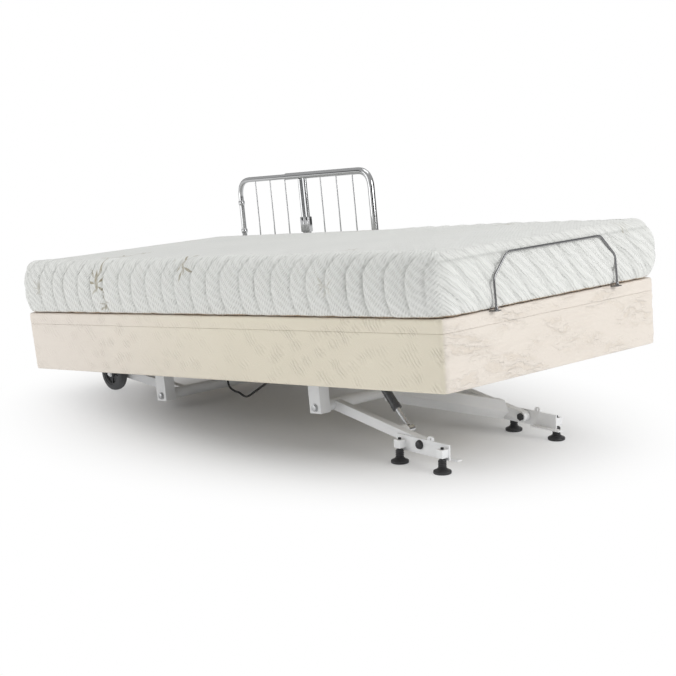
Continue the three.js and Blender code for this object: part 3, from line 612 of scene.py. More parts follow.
def tube(bm, route, radius, resolution=5):
    """Adds a round tube along a route to a bmesh."""
    curve = bpy.data.curves.new("route", "CURVE")
    curve.dimensions = "3D"
    curve.bevel_depth = radius
    curve.bevel_resolution = resolution
    curve.use_fill_caps = True
    line = curve.splines.new("POLY")
    line.points.add(len(route) - 1)
    for point, co in zip(line.points, route):
        point.co = (*co, 1)
    holder = bpy.data.objects.new("route", curve)
    mesh = bpy.data.meshes.new_from_object(holder)
    bm.from_mesh(mesh)
    bpy.data.objects.remove(holder)
    bpy.data.curves.remove(curve)
    bpy.data.meshes.remove(mesh)


# ---- Upholstered rings and slabs, made as a strip wrapped round a rounded outline ----
def outline_stations(half_x, half_y, radius, side_step, end_step, corner_steps=8):
    """Stations round a rounded rectangle from the middle of the head end: (point, normal, distance)."""
    stations = []
    walked = 0.0

    def straight(start, stop, normal, step, first=False):
        nonlocal walked
        length = (stop - start).length
        count = max(1, round(length / step))
        for i in range(0 if first else 1, count + 1):
            stations.append((start.lerp(stop, i / count), normal, walked + length * i / count, False))
        walked += length

    def corner(centre, from_angle):
        nonlocal walked
        for i in range(1, corner_steps + 1):
            angle = from_angle + math.pi / 2 * i / corner_steps
            normal = Vector((math.cos(angle), math.sin(angle)))
            point = centre + normal * radius
            stations.append((point, normal, walked + radius * math.pi / 2 * i / corner_steps, True))
        walked += radius * math.pi / 2

    x, y = half_x - radius, half_y - radius
    straight(Vector((-half_x, 0)), Vector((-half_x, -y)), Vector((-1, 0)), end_step, True)
    corner(Vector((-x, -y)), math.pi)
    straight(Vector((-x, -half_y)), Vector((x, -half_y)), Vector((0, -1)), side_step)
    corner(Vector((x, -y)), 1.5 * math.pi)
    straight(Vector((half_x, -y)), Vector((half_x, y)), Vector((1, 0)), end_step)
    corner(Vector((x, y)), 0)
    straight(Vector((x, half_y)), Vector((-x, half_y)), Vector((0, 1)), side_step)
    corner(Vector((-x, y)), 0.5 * math.pi)
    straight(Vector((-half_x, y)), Vector((-half_x, 0)), Vector((-1, 0)), end_step)
    return stations


def upholstered(profile, radius, steps, shape, taper=True):
    """A strip over a profile of (inset, height), wrapped round the bed, then pushed out by a shape.

    shape takes the distance round, the height, the outline's normal, the inset and the point. It
    returns how far the surface stands out, and how deep in a seam it lies from 0 to 1.
    """
    half_x, half_y = HALF_LENGTH, HALF_WIDTH
    stations = outline_stations(half_x, half_y, radius, *steps)
    columns, rows = len(stations) - 1, len(profile) - 1
    bm = bmesh.new()
    bmesh.ops.create_grid(bm, x_segments=columns, y_segments=rows, size=0.5)
    band = bm.loops.layers.uv.new("band")
    deck = bm.verts.layers.float_vector.new("deck")
    side = bm.verts.layers.float.new("side")
    end = bm.verts.layers.float.new("end")
    # How deep each point lies in a seam; the knit paints shade from it.
    seam = bm.verts.layers.float.new("seam")
    middle = stations[-1][2] / 2
    flat_uv = {}
    for vert in bm.verts:
        i = round((vert.co.x + 0.5) * columns)
        j = round((vert.co.y + 0.5) * rows)
        point, normal, walked, curved = stations[i]
        inset, z = profile[j]
        before, after = profile[max(j - 1, 0)], profile[min(j + 1, rows)]
        slope = Vector((before[0] - after[0], after[1] - before[1]))
        slope = slope.normalized() if slope.length > 1e-9 else Vector((0, 1))
        outward, upward = slope.y, -slope.x
        flat = point - normal * (min(inset, radius) if curved else inset)
        flat.x = max(-half_x + inset, min(half_x - inset, flat.x))
        flat.y = max(-half_y + inset, min(half_y - inset, flat.y))
        out, valley = shape(walked - middle, z, normal, inset, flat)
        flat = flat + normal * outward * out
        lean = 1 - END_TAPER / HALF_LENGTH * (1 - z / DECK_TOP) if taper else 1
        vert.co = (flat.x * lean, flat.y, z + upward * out)
        vert[deck] = vert.co
        vert[side] = smoothstep(0.045, 0.015, inset)
        vert[end] = smoothstep(0.5, 0.9, abs(normal.x))
        vert[seam] = valley
        flat_uv[vert] = (walked - middle, z - inset * 0.9)
    for face in bm.faces:
        for loop in face.loops:
            loop[band].uv = flat_uv[loop.vert]
    bmesh.ops.remove_doubles(bm, verts=bm.verts, dist=2e-5)
    bmesh.ops.dissolve_degenerate(bm, edges=bm.edges, dist=1e-5)
    bmesh.ops.recalc_face_normals(bm, faces=bm.faces)
    return bm


def arc_profile(inset, z, radius, start, stop, steps):
    """Points of a rounded edge, its centre at (inset, z); angle 0 points outwards and 90 up."""
    points = []
    for i in range(steps + 1):
        angle = math.radians(start + (stop - start) * i / steps)
        points.append((inset - radius * math.cos(angle), z + radius * math.sin(angle)))
    return points


def stretch(start, stop, step):
    """Values between two ends, without the ends, about a step apart."""
    count = max(1, round(abs(stop - start) / step))
    return [start + (stop - start) * i / count for i in range(1, count)]


def part_of(whole, low, high):
    """The stretch of a closed shape between two cross-sections of the bed, closed again."""
    bm = whole.copy()
    for x, keep in ((low, 1), (high, -1)):
        if x is None:
            continue
        geom = list(bm.verts) + list(bm.edges) + list(bm.faces)
        bmesh.ops.bisect_plane(
            bm, geom=geom, plane_co=(x, 0, 0), plane_no=(-keep, 0, 0), clear_outer=True, dist=1e-7
        )
        rim = [e for e in bm.edges if e.is_boundary]
        bmesh.ops.holes_fill(bm, edges=rim, sides=0)
    bmesh.ops.triangulate(bm, faces=[f for f in bm.faces if len(f.verts) > 8])
    bmesh.ops.recalc_face_normals(bm, faces=bm.faces)
    return bm


def bending(bm, name, material, stands_for):
    """A padded piece over a stretch of the bed, put in the bed's frame on no body."""
    bm.transform(DECK)
    made = piece(bm, name, material, None, stands_for, 60)
    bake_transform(made)


# ---- Mattress ----
# Seams of the upright channels on the long sides, and of the slanting quilting on the ends.
CHANNELS = [0.078 * i + 0.006 * math.sin(2.3 * i) for i in range(-45, 46)]
QUILTS = [0.072 * i + 0.009 * math.sin(1.7 * i) for i in range(-60, 61)]


def puff(lines, value, seam):
    """Height over a row of puffs, with a crisp valley at each line, and the valley itself, 0 to 1."""
    before = max(line for line in lines if line <= value)
    after = min(line for line in lines if line > value)
    t = (value - before) / (after - before)
    body = math.sin(math.pi * t**0.8) ** 0.6 if 0 < t < 1 else 0.0
    near = min(value - before, after - value)
    valley = math.exp(-((near / seam) ** 2))
    return body - 0.45 * valley, valley


def beside_rail(flat):
    """1 on the stretch of the left side that stands against the assist rail."""
    return smoothstep(0.12, -0.05, flat.x) * smoothstep(0.2, 0.35, flat.y)


def mattress_bulge(normal, flat):
    """How far the sides belly out between the top and bottom edges."""
    behind_bar = smoothstep(0.33, 0.27, abs(flat.y)) if normal.x > 0.7 else 0.0
    head_end = smoothstep(0.6, 0.95, -normal.x)
    free_corner = smoothstep(0.45, 0.9, flat.x) * smoothstep(0.2, 0.42, flat.y)
    return 0.017 + 0.014 * max(head_end, free_corner) - 0.015 * beside_rail(flat) - 0.010 * behind_bar


def mattress_shape(walked, z, normal, inset, flat):
    """How far the quilted cover stands out: channels on the long sides, slanting quilting on the ends."""
    rise = (z - MATTRESS_BOTTOM) / (MATTRESS_TOP - MATTRESS_BOTTOM)
    crown = 0.007 * smoothstep(0.0, 0.3, inset)
    if inset > 0.12:
        return crown + 0.0016 * noise.noise(Vector((flat.x * 8, flat.y * 8, 3.0))), 0.0
    fade = smoothstep(0.1, 0.02, inset) * smoothstep(-0.02, 0.1, rise)
    ends = smoothstep(0.6, 0.9, abs(normal.x))
    lean = 0.006 * math.sin(math.pi * rise) - 0.03 * smoothstep(0.72, 1.0, rise) - 0.3 * inset
    held_in = 0.75 * beside_rail(flat)
    uneven = 0.75 + 0.5 * noise.noise(Vector((flat.x * 3.0, flat.y * 3.0, 5.0)))
    body, upright_seam = puff(CHANNELS, walked + lean, 0.0042)
    upright = 0.0085 * uneven * body
    body, slanted_seam = puff(QUILTS, flat.y + 0.8 * (z - MATTRESS_BOTTOM), 0.006)
    slanted = 0.0068 * body * smoothstep(0.92, 0.78, rise)
    seam = math.exp(-(((z - (MATTRESS_TOP - 0.03)) / 0.0035) ** 2))
    pinch = math.exp(-(((z - (MATTRESS_TOP - 0.034)) / 0.012) ** 2))
    crease = -0.004 * seam * ends - 0.0045 * pinch * (1 - ends) * (1 - held_in)
    pucker = 0.0012 * noise.noise(Vector((flat.x * 45, flat.y * 45, z * 14)))
    loose = 0.004 * noise.noise(Vector((flat.x * 4.5, flat.y * 4.5, z * 6)))
    belly = mattress_bulge(normal, flat) * math.sin(math.pi * min(1.0, max(0.0, rise) ** 0.85))
    out = (upright * (1 - ends) + slanted * ends + loose) * (1 - held_in)
    valley = upright_seam * uneven * (1 - ends) + max(0.5 * slanted_seam, seam) * ends
    height = crown + fade * (out + crease + pucker - 0.005) + belly * smoothstep(0.1, 0.0, inset)
    return height, fade * valley


def make_mattress():
    """The mattress as one closed shape, cut in three where it bends."""
    low, high = 0.016, 0.034
    profile = [(HALF_WIDTH, MATTRESS_BOTTOM)]
    profile += [(inset, MATTRESS_BOTTOM) for inset in stretch(HALF_WIDTH, low, 0.028)]
    profile += arc_profile(low, MATTRESS_BOTTOM + low, low, -90, 0, 4)
    profile += [(0.0, z) for z in stretch(MATTRESS_BOTTOM + low, MATTRESS_TOP - high, 0.006)]
    profile += arc_profile(high, MATTRESS_TOP - high, high, 0, 90, 10)
    profile += [(inset, MATTRESS_TOP) for inset in stretch(high, HALF_WIDTH, 0.011)]
    profile.append((HALF_WIDTH, MATTRESS_TOP))
    steps = (0.0045, 0.006)
    whole = upholstered(profile, MATTRESS_CORNER, steps, mattress_shape, taper=False)
    spans = (
        ("head_end", None, SEAT_CUT, (-0.345, -0.04), ["mattress_back"]),
        ("middle", SEAT_CUT, THIGH_CUT, (-0.028, 0.215), ["mattress_seat"]),
        ("foot_end", THIGH_CUT, None, (0.28, 0.63), ["mattress_thigh", "mattress_foot"]),
    )
    for bodies, (name, start, stop, reach, stands_for) in zip(HINGED_BODIES, spans):
        part = part_of(whole, start, stop)
        bending(part, "mattress_" + name, KNIT, stands_for)
    whole.free()


# ---- Upholstered base and deck ----
COVER_STEPS = (0.011, 0.007)


def base_shape(walked, z, normal, inset, flat):
    """Soft level wrinkles in the cover of the ends, and looser puffs along the sides."""
    if inset > 0.01 or z < 0.004:
        return 0.0, 0.0
    ends = smoothstep(0.5, 0.95, abs(normal.x))
    edge = smoothstep(0.0, 0.02, z) * smoothstep(DECK_TOP, DECK_TOP - 0.02, z)
    edge *= smoothstep(0.001, 0.012, abs(z - DECK_BOTTOM))
    drift = noise.noise(Vector((flat.x * 4.2, flat.y * 4.2, z * 8)))
    finer = noise.noise(Vector((flat.x * 11, flat.y * 11, z * 17)))
    waves = math.sin(2 * math.pi * (z + 0.034 * drift + 0.014 * finer) / 0.04)
    broken = 0.2 + 0.8 * smoothstep(-0.2, 0.35, noise.noise(Vector((flat.x * 6, flat.y * 6, z * 13))))
    puffs = noise.noise(Vector((flat.x * 6, flat.y * 6, z * 11)))
    return edge * (ends * (0.0034 * waves * broken + 0.004 * drift) + (1 - ends) * 0.0024 * puffs), 0.0


def make_base():
    """The four side boards under their cover, with the lining inside."""
    top = BOX_TOP
    profile = [(BOARD, top), (BOARD, top * 0.66), (BOARD, top * 0.33), (BOARD, 0.004)]
    profile += arc_profile(BOARD - 0.004, 0.004, -0.004, 0, 90, 2)[1:]
    profile += arc_profile(0.005, 0.005, 0.005, -90, 0, 3)
    profile += [(0.0, z) for z in stretch(0.005, top - 0.0009, 0.0062)]
    profile += arc_profile(0.0009, top - 0.0009, 0.0009, 0, 90, 2)
    profile += [(BOARD * 0.5, top), (BOARD, top)]
    bm = upholstered(profile, BASE_CORNER, COVER_STEPS, base_shape)
    for face in bm.faces:
        middle = face.calc_center_median()
        inside_x = abs(middle.x) < HALF_LENGTH - BOARD + 0.002
        inside_y = abs(middle.y) < HALF_WIDTH - BOARD + 0.002
        face.material_index = 1 if inside_x and inside_y else 0
    bm.transform(DECK)
    panels = ["side_panel_right", "side_panel_left", "head_panel", "foot_panel"]
    made = piece(bm, "base_cover", [CLOTH, LINING], "bed_base", panels, 60)


def make_deck():
    """The padded deck as one closed slab, cut in three."""
    edge, under = 0.007, 0.0009
    profile = [(HALF_WIDTH, DECK_BOTTOM)]
    profile += [(inset, DECK_BOTTOM) for inset in stretch(HALF_WIDTH, under, 0.04)]
    profile += arc_profile(under, DECK_BOTTOM + under, under, -90, 0, 2)
    profile += [(0.0, z) for z in stretch(DECK_BOTTOM + under, DECK_TOP - edge, 0.006)]
    profile += arc_profile(edge, DECK_TOP - edge, edge, 0, 90, 4)
    profile += [(inset, DECK_TOP) for inset in stretch(edge, HALF_WIDTH, 0.03)]
    profile.append((HALF_WIDTH, DECK_TOP))
    whole = upholstered(profile, BASE_CORNER, COVER_STEPS, base_shape)
    spans = (
        ("head_end", None, SEAT_CUT, BACK_HINGE, ["deck_back"]),
        ("middle", SEAT_CUT, THIGH_CUT, THIGH_HINGE, ["deck_seat"]),
        ("foot_end", THIGH_CUT, None, KNEE_HINGE, ["deck_thigh", "deck_foot"]),
    )
    for bodies, (name, start, stop, hinge, stands_for) in zip(HINGED_BODIES, spans):
        part = part_of(whole, start, stop)
        bending(part, "deck_" + name, CLOTH, stands_for)
    whole.free()


# ---- Assist rail and retainer ----
RAIL_TOP = 0.581
RAIL_LOW_BAR = 0.352
RAIL_HEAD_X, RAIL_FOOT_X, RAIL_CENTRE_X = -0.906, -0.180, -0.542
RAIL_SOCKET_X = -0.630
RAIL_WIRE_PITCH = 0.0855


def rail_tube(bm, route, radius, resolution):
    """A tube in the rail's plane, along points of (along the bed, height)."""
    tube(bm, [(x, RAIL_PLANE, z) for x, z in route], radius, resolution)


def rail_half(outer_x, inner_x, inner_top, end_x, radius, first_wire):
    """One half of the rail: its bent tube, its post at the middle, its low bar and three wires."""
    bm = bmesh.new()
    corners = [(outer_x, RAIL_PLANE, 0.1), (outer_x, RAIL_PLANE, RAIL_TOP), (end_x, RAIL_PLANE, RAIL_TOP)]
    tube(bm, rounded_route(corners, 0.062, 14), radius, 8)
    rail_tube(bm, [(inner_x, RAIL_LOW_BAR - 0.006), (inner_x, inner_top)], 0.0085, 7)
    rail_tube(bm, [(outer_x, RAIL_LOW_BAR), (inner_x, RAIL_LOW_BAR)], 0.006, 6)
    for i in range(3):
        x = first_wire + i * RAIL_WIRE_PITCH
        rail_tube(bm, [(x, RAIL_LOW_BAR), (x, RAIL_TOP)], 0.0024, 4)
    return bm


def rail_clamp(bm, x0, x1):
    """Half of the clamp that holds the two centre posts together."""
    middle = Vector(((x0 + x1) / 2, RAIL_PLANE, 0.402))
    bevelled_box(bm, Matrix.Translation(middle), (x1 - x0, 0.020, 0.056), 0.003, 3)


def make_rail():
    post, clamp = 0.0115, 0.023
    head = rail_half(RAIL_HEAD_X, RAIL_CENTRE_X - post, 0.568, RAIL_SOCKET_X + 0.04, 0.0095, -0.811)
    collar = [(0.0096, -0.009), (0.0112, -0.007), (0.012, -0.003)]
    collar += [(radius, -height) for radius, height in reversed(collar)]
    for z in (0.388, 0.495):
        turned(head, collar, (RAIL_HEAD_X, RAIL_PLANE, z), (0, 0, 1), 32)
    rail_clamp(head, RAIL_CENTRE_X - clamp, RAIL_CENTRE_X - 0.0002)
    foot = rail_half(RAIL_FOOT_X, RAIL_CENTRE_X + post, RAIL_TOP, RAIL_SOCKET_X, 0.0125, -0.443)
    rail_clamp(foot, RAIL_CENTRE_X + 0.0002, RAIL_CENTRE_X + clamp)
    for bm, name in ((head, "head_half"), (foot, "foot_half")):
        node = "assist_rail_" + name
        closed_piece(bm, "rail_" + name, CHROME, "assist_rail", [node], place=DECK)
    softened("rail_bracket", ZINC, 0.0008)


def make_retainer():
    """A bar bent up over the foot end of the mattress, on two flat tabs with ferrules."""
    half, bend, narrow, top = 0.26, 0.285, 0.199, 0.348
    x = 1.030
    low = DECK_TOP - 0.003
    tab_start, tab_end = 0.93, x + 0.008
    right = [(x, -half, low), (x, -half, bend), (x, -narrow, top)]
    left = [(x, -y, z) for x, y, z in reversed(right)]
    bm = bmesh.new()
    tube(bm, rounded_route(right + left, 0.012, 6), 0.0032, 7)
    ferrule = [(0.0033, 0.0), (0.0054, 0.0), (0.0054, 0.006), (0.0046, 0.009), (0.0033, 0.0095)]
    for y in (-half, half):
        middle = Matrix.Translation(((tab_start + tab_end) / 2, y, low + 0.0008))
        bevelled_box(bm, middle, (tab_end - tab_start, 0.022, 0.003), 0.0009)
        turned(bm, ferrule, (x, y, low + 0.003), (0, 0, 1), 28)
    closed_piece(
        bm, "retainer_bar", NICKEL, "foot_section", ["mattress_retainer"], place=DECK
    )


# ---- Levelers, wheels and bolts ----
def middle_of(node):
    low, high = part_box(node)
    return (Vector(low) + Vector(high)) / 2


def make_leveler(node):
    """A moulded foot with a ribbed neck, and its threaded stud above."""
    centre = middle_of(node)
    bm = bmesh.new()
    profile = [(0.0, 0.0), (0.0245, 0.0), (0.0262, 0.0012), (0.0265, 0.006), (0.0258, 0.0082)]
    profile += [(0.0235, 0.0095), (0.0195, 0.0108), (0.0165, 0.0126), (0.0148, 0.0148)]
    for z in (0.017, 0.0225, 0.028, 0.0335):
        profile += [(0.0108, z), (0.0124, z + 0.0012), (0.0124, z + 0.003), (0.0108, z + 0.0042)]
    profile += [(0.0104, 0.0395), (0.0098, 0.0405), (0.0052, 0.0408)]
    for turn in range(21):
        z = 0.0412 + 0.0016 * turn
        profile += [(0.0050, z), (0.0044, z + 0.0008)]
    profile += [(0.0046, 0.0752), (0.0, 0.0755)]
    turned(bm, profile, (centre.x, centre.y, 0.0), (0, 0, 1), 36)
    stand_in(bm, node, "_foot", PAD, 45)


def mirrored(profile):
    """A profile from one face of a wheel to its middle, and on to the other face."""
    return profile + [(radius, -along) for radius, along in reversed(profile)]


def make_wheel(side):
    """A tyre, a hub with five ribs, and the washer at the end of the axle."""
    tyre_node, hub_node = "wheel_tyre_" + side, "wheel_hub_" + side
    centre = middle_of(tyre_node)
    outside = 1 if side == "left" else -1
    radius, half, rim = 0.0625, 0.016, 0.0423
    tyre = bmesh.new()
    profile = [(rim, -half), (0.050, -half - 0.0006), (0.0560, -half + 0.0008)]
    profile += [(0.0602, -half + 0.004), (0.0620, -half + 0.009), (radius, -0.003)]
    turned(tyre, mirrored(profile) + [(rim, -half)], centre, (0, 1, 0), 64)
    stand_in(tyre, tyre_node, "_moulded", TYRE, 50)
    hub = bmesh.new()
    profile = [(0.0064, -half), (0.0145, -half), (0.016, -half + 0.0015), (0.0165, -0.0085)]
    profile += [(0.020, -0.0065), (0.034, -0.0055), (0.0362, -0.0075), (0.037, -half + 0.003)]
    profile += [(0.0385, -half + 0.002), (0.0418, -half + 0.002)]
    turned(hub, mirrored(profile) + [(0.0064, -half)], centre, (0, 1, 0), 56)
    for k in range(5):
        turn = Matrix.Rotation(2 * math.pi * k / 5 + 0.3, 4, "Y")
        place = Matrix.Translation(centre) @ turn @ Matrix.Translation((0.026, 0, 0))
        bevelled_box(hub, place, (0.022, 0.022, 0.005), 0.0011)
    stand_in(hub, hub_node, "_moulded", HUB)
    cap = bmesh.new()
    outer = centre + Vector((0, outside * (half + 0.0022), 0))
    washer = [(0.0062, 0.0), (0.0125, 0.0), (0.0125, 0.0012), (0.0062, 0.0016)]
    turned(cap, washer, outer, (0, outside, 0), 32)
    closed_piece(cap, "axle_washer_" + side, ZINC, "head_leg", ())


def bolt_line(node):
    """A bolt across the bed: its middle, its outward sense, and its outer and inner ends."""
    low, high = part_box(node)
    centre = middle_of(node)
    outward = 1 if centre.y > 0 else -1
    ends = (high[1], low[1]) if outward > 0 else (low[1], high[1])
    return centre, outward, *ends


def make_pivot_bolt(node):
    """A bolt through a bracket, with a washer under its head."""
    centre, outward, outer, inner = bolt_line(node)
    head = 0.0065
    at = Vector((centre.x, outer - outward * head, centre.z))
    length = abs(at.y - inner)
    bm = bmesh.new()
    hexagon(bm, at, (0, outward, 0), 0.0105, head)
    shaft = [(0.0, 0.0), (0.0055, 0.0), (0.006, 0.0008), (0.006, length), (0.0, length)]
    turned(bm, shaft, (centre.x, inner, centre.z), (0, outward, 0), 28)
    washer = [(0.0062, -0.0004), (0.0128, -0.0004), (0.0132, 0.0004), (0.0128, 0.0014), (0.0062, 0.0014)]
    turned(bm, washer, at, (0, outward, 0), 32)
    stand_in(bm, node, "_finished", ZINC)


def make_rocker_bolt(node):
    """A domed bolt through a rocker foot, with a nut on its inner end."""
    centre, outward, outer, inner = bolt_line(node)
    head, nut, shank = 0.009, 0.0065, 0.008
    at = Vector((centre.x, outer - outward * head, centre.z))
    start = Vector((centre.x, inner + outward * nut, centre.z))
    bm = bmesh.new()
    crown = [(0.0, head), (0.0075, head), (0.0115, head - 0.0022), (0.0135, 0.0022)]
    crown += [(0.014, 0.0), (shank, 0.0)]
    turned(bm, crown, at, (0, outward, 0), 36)
    hexagon(bm, start, (0, -outward, 0), 0.0125, nut)
    turned(bm, [(shank, 0.0), (shank, abs(at.y - start.y))], start, (0, outward, 0), 28)
    stand_in(bm, node, "_finished", OXIDE)


# ---- Actuators ----
ACTUATOR_JOINTS = {
    "foot_lift": ("foot_lift_tail", "foot_lift_extend"),
    "head_lift": ("head_lift_tail", "head_lift_extend"),
    "back": ("back_actuator_tail", "back_actuator_extend"),
    "knee": ("knee_actuator_tail", "knee_actuator_extend"),
}
ROD_EYE = 0.012


def actuator_frame(name):
    """The place of an actuator: its tail's pivot, with X along its rod."""
    tail_joint, slide_joint = ACTUATOR_JOINTS[name]
    tail = Vector(joints[tail_joint]["pos_m"])
    along = Vector(joints[slide_joint]["axis"]).normalized()
    low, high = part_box(name + "_actuator")
    tail.y = (low[1] + high[1]) / 2
    across = Vector((0, 1, 0))
    up = along.cross(across).normalized()
    turn = Matrix((along, across, up)).transposed().to_4x4()
    return Matrix.Translation(tail) @ turn


def rod_length(name):
    """Tail to rod eye. The round eye touches the leading faces of the rod's box on both axes."""
    low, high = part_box(name + "_rod")
    place = actuator_frame(name)
    along = place.to_3x3() @ Vector((1, 0, 0))
    lead = Vector((high[0] if along.x > 0 else low[0], 0, high[2] if along.z > 0 else low[2]))
    eye = lead - Vector((math.copysign(ROD_EYE, along.x), 0, math.copysign(ROD_EYE, along.z)))
    return (eye - Vector((place.translation.x, 0, place.translation.z))).length


def soft_block(bm, low, high, bevel):
    """A box with rounded edges between two corners."""
    middle = Vector([(a + b) / 2 for a, b in zip(low, high)])
    size = [abs(b - a) for a, b in zip(low, high)]
    bevelled_box(bm, Matrix.Translation(middle), size, bevel, 3)


def actuator_housing(motor_length, motor_side):
    """Tail eye, gearbox and motor."""
    bm = bmesh.new()
    eye = [(0.0054, -0.014), (0.014, -0.014), (0.016, -0.012), (0.016, 0.012), (0.014, 0.014)]
    eye += [(0.0054, 0.014), (0.0054, -0.014)]
    turned(bm, eye, (0, 0, 0), (0, 1, 0), 36)
    soft_block(bm, (0.012, -0.011, -0.012), (0.032, 0.011, 0.012), 0.002)
    soft_block(bm, (0.028, -0.025, -0.024), (0.092, 0.025, 0.024), 0.006)
    reach = 0.024 + motor_length
    motor = [(0.0, 0.018), (0.022, 0.018), (0.022, reach - 0.008), (0.0212, reach - 0.0075)]
    motor += [(0.0212, reach - 0.006), (0.022, reach - 0.0055), (0.022, reach - 0.003)]
    motor += [(0.0195, reach), (0.0, reach)]
    turned(bm, motor, (0.06, 0, 0), (0, 0, motor_side), 40)
    return bm


def actuator_sleeve(end):
    """The painted tube that the rod slides in, with its seal at the end."""
    bm = bmesh.new()
    profile = [(0.0, 0.09), (0.0165, 0.09), (0.0165, 0.102), (0.0138, 0.105), (0.0135, end - 0.016)]
    profile += [(0.0148, end - 0.0155), (0.0148, end - 0.002), (0.014, end), (0.0091, end)]
    profile += [(0.0089, end - 0.03), (0.0, end - 0.031)]
    turned(bm, profile, (0, 0, 0), (1, 0, 0), 40)
    return bm


def actuator_rod(length, pin_side):
    """The ground rod, its eye and the pin through it."""
    bm = bmesh.new()
    shaft = [(0.0, 0.094), (0.0085, 0.094), (0.0085, length - 0.022), (0.0078, length - 0.02)]
    shaft += [(0.0078, length - 0.012), (0.0, length - 0.011)]
    turned(bm, shaft, (0, 0, 0), (1, 0, 0), 36)
    knuckle = [(0.0, -0.014), (0.0105, -0.014), (ROD_EYE, -0.0125), (ROD_EYE, 0.0125)]
    knuckle += [(0.0105, 0.014), (0.0, 0.014)]
    turned(bm, knuckle, (length, 0, 0), (0, 1, 0), 36)
    pin = [(0.0, 0.0), (0.005, 0.0), (0.005, 0.0222), (0.0045, 0.023), (0.0, 0.023)]
    turned(bm, pin, (length, 0, 0), (0, pin_side, 0), 24)
    return bm


def make_actuator(name, sleeve_end, motor_length, motor_side, pin_side):
    place = actuator_frame(name)
    node = name + "_actuator"
    stand_in(actuator_housing(motor_length, motor_side), node, "_finished", BLACK, place=place)
    sleeve = actuator_sleeve(sleeve_end)
    closed_piece(sleeve, node + "_sleeve", SLEEVE, body_of[node], (), place=place)
    stand_in(actuator_rod(rod_length(name), pin_side), name + "_rod", "_finished", ROD_STEEL, place=place)


# ---- Leg frames ----
def make_torque_tube(node):
    low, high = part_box(node)
    centre = middle_of(node)
    length = high[1] - low[1]
    bm = bmesh.new()
    profile = [(0.0065, 0.0), (0.0165, 0.0), (0.018, 0.0012), (0.018, length - 0.0012)]
    profile += [(0.0165, length), (0.0065, length), (0.0065, 0.0)]
    turned(bm, profile, (centre.x, low[1], centre.z), (0, 1, 0), 48)
    stand_in(bm, node, "_finished", COAT)


LEAD_DIAMETER = 0.007
# The lead's way, (along the bed, height), from its box to the cross member at the knee.
LEAD_ROUTE = (
    (-0.240, 0.0727),
    (-0.241, 0.040),
    (-0.243, 0.0),
    (-0.244, -0.040),
    (-0.236, -0.074),
    (-0.212, -0.088),
    (-0.188, -0.093),
    (-0.160, -0.104),
    (-0.138, -0.101),
    (-0.104, -0.085),
    (-0.066, -0.067),
    (-0.030, -0.049),
    (0.020, -0.020),
    (0.080, 0.022),
    (0.160, 0.050),
    (0.240, 0.061),
    (0.3147, 0.062),
)
LEAD_PLANE = -0.2


def smooth_route(points, steps=8):
    """A smooth curve through every point."""
    ends = [points[0], *points, points[-1]]
    smooth = []
    for a, b, c, d in zip(ends, ends[1:], ends[2:], ends[3:]):
        for i in range(steps):
            t = i / steps
            square = (2 * a - 5 * b + 4 * c - d) * t**2
            cube = (3 * b - a - 3 * c + d) * t**3
            smooth.append(0.5 * (2 * b + (c - a) * t + square + cube))
    return smooth + [points[-1]]


def make_lead():
    """The control lead, sagging from its box along the underside to a cross member."""
    points = [Vector((x, LEAD_PLANE, z)) for x, z in LEAD_ROUTE]
    path = [DECK @ point for point in smooth_route(points)]
    bm = bmesh.new()
    tube(bm, path, LEAD_DIAMETER / 2, 5)
    lead = closed_piece(bm, "control_lead_routed", JACKET, "bed_base", ["control_lead"])
    bm = bmesh.new()
    profile = [(0.0036, 0.0), (0.0062, 0.0), (0.0068, -0.004), (0.0068, -0.011)]
    profile += [(0.0036, -0.012), (0.0036, 0.0)]
    turned(bm, profile, (LEAD_ROUTE[0][0], LEAD_PLANE, 0.0835), (0, 0, 1), 28)
    gland = closed_piece(bm, "lead_gland", BLACK, "bed_base", (), place=DECK)


def make_frames():
    for node in ("frame_beam_right", "frame_beam_left"):
        softened(node, COAT, 0.0008)
    for node in ("cross_member_head", "cross_member_seat", "cross_member_knee"):
        softened(node, COAT, 0.0007)
    for node in ("back_lever", "thigh_lever"):
        softened(node, COAT, 0.0007)
    for end in ("head", "foot"):
        make_torque_tube(end + "_torque_tube")
        for side in ("right", "left"):
            softened(f"{end}_bracket_{side}", COAT, 0.0012, segments=3)
            softened(f"{end}_arm_{side}", COAT, 0.0014, segments=3)
            make_pivot_bolt(f"{end}_pivot_bolt_{side}")
    softened("foot_leg_brace", COAT, 0.0006, angle=25)
    for side in ("right", "left"):
        softened("rocker_foot_" + side, COAT, 0.0009)
        make_rocker_bolt("rocker_bolt_" + side)
        make_wheel(side)
        for end in ("head", "foot"):
            make_leveler(f"leveler_{end}_{side}")
    softened("control_box", BLACK, 0.004, segments=3)


def make_actuators():
    make_actuator("foot_lift", 0.222, 0.06, 1, -1)
    make_actuator("head_lift", 0.222, 0.06, 1, -1)
    make_actuator("back", 0.38, 0.05, 1, 1)
    make_actuator("knee", 0.29, 0.05, -1, -1)


# ---- Floor, light and camera ----
def make_stage():
    """A pale floor, a studio world and three soft lamps."""
    bm = bmesh.new()
    bmesh.ops.create_grid(bm, x_segments=1, y_segments=1, size=40.0)
    floor = piece(bm, "floor", floor_finish())
    scene = bpy.context.scene
    scene.view_settings.view_transform = "Standard"
    scene.world = studio_world()
    lamp("key", (4.6, 0.8, 2.1), (0.2, 0.0, 0.25), 2.2, 84)
    lamp("side", (-1.9, -3.8, 1.2), (-0.3, 0.0, 0.25), 2.8, 52)
    lamp("overhead", (-0.4, 0.8, 4.2), (0.0, 0.0, 0.2), 2.6, 42)


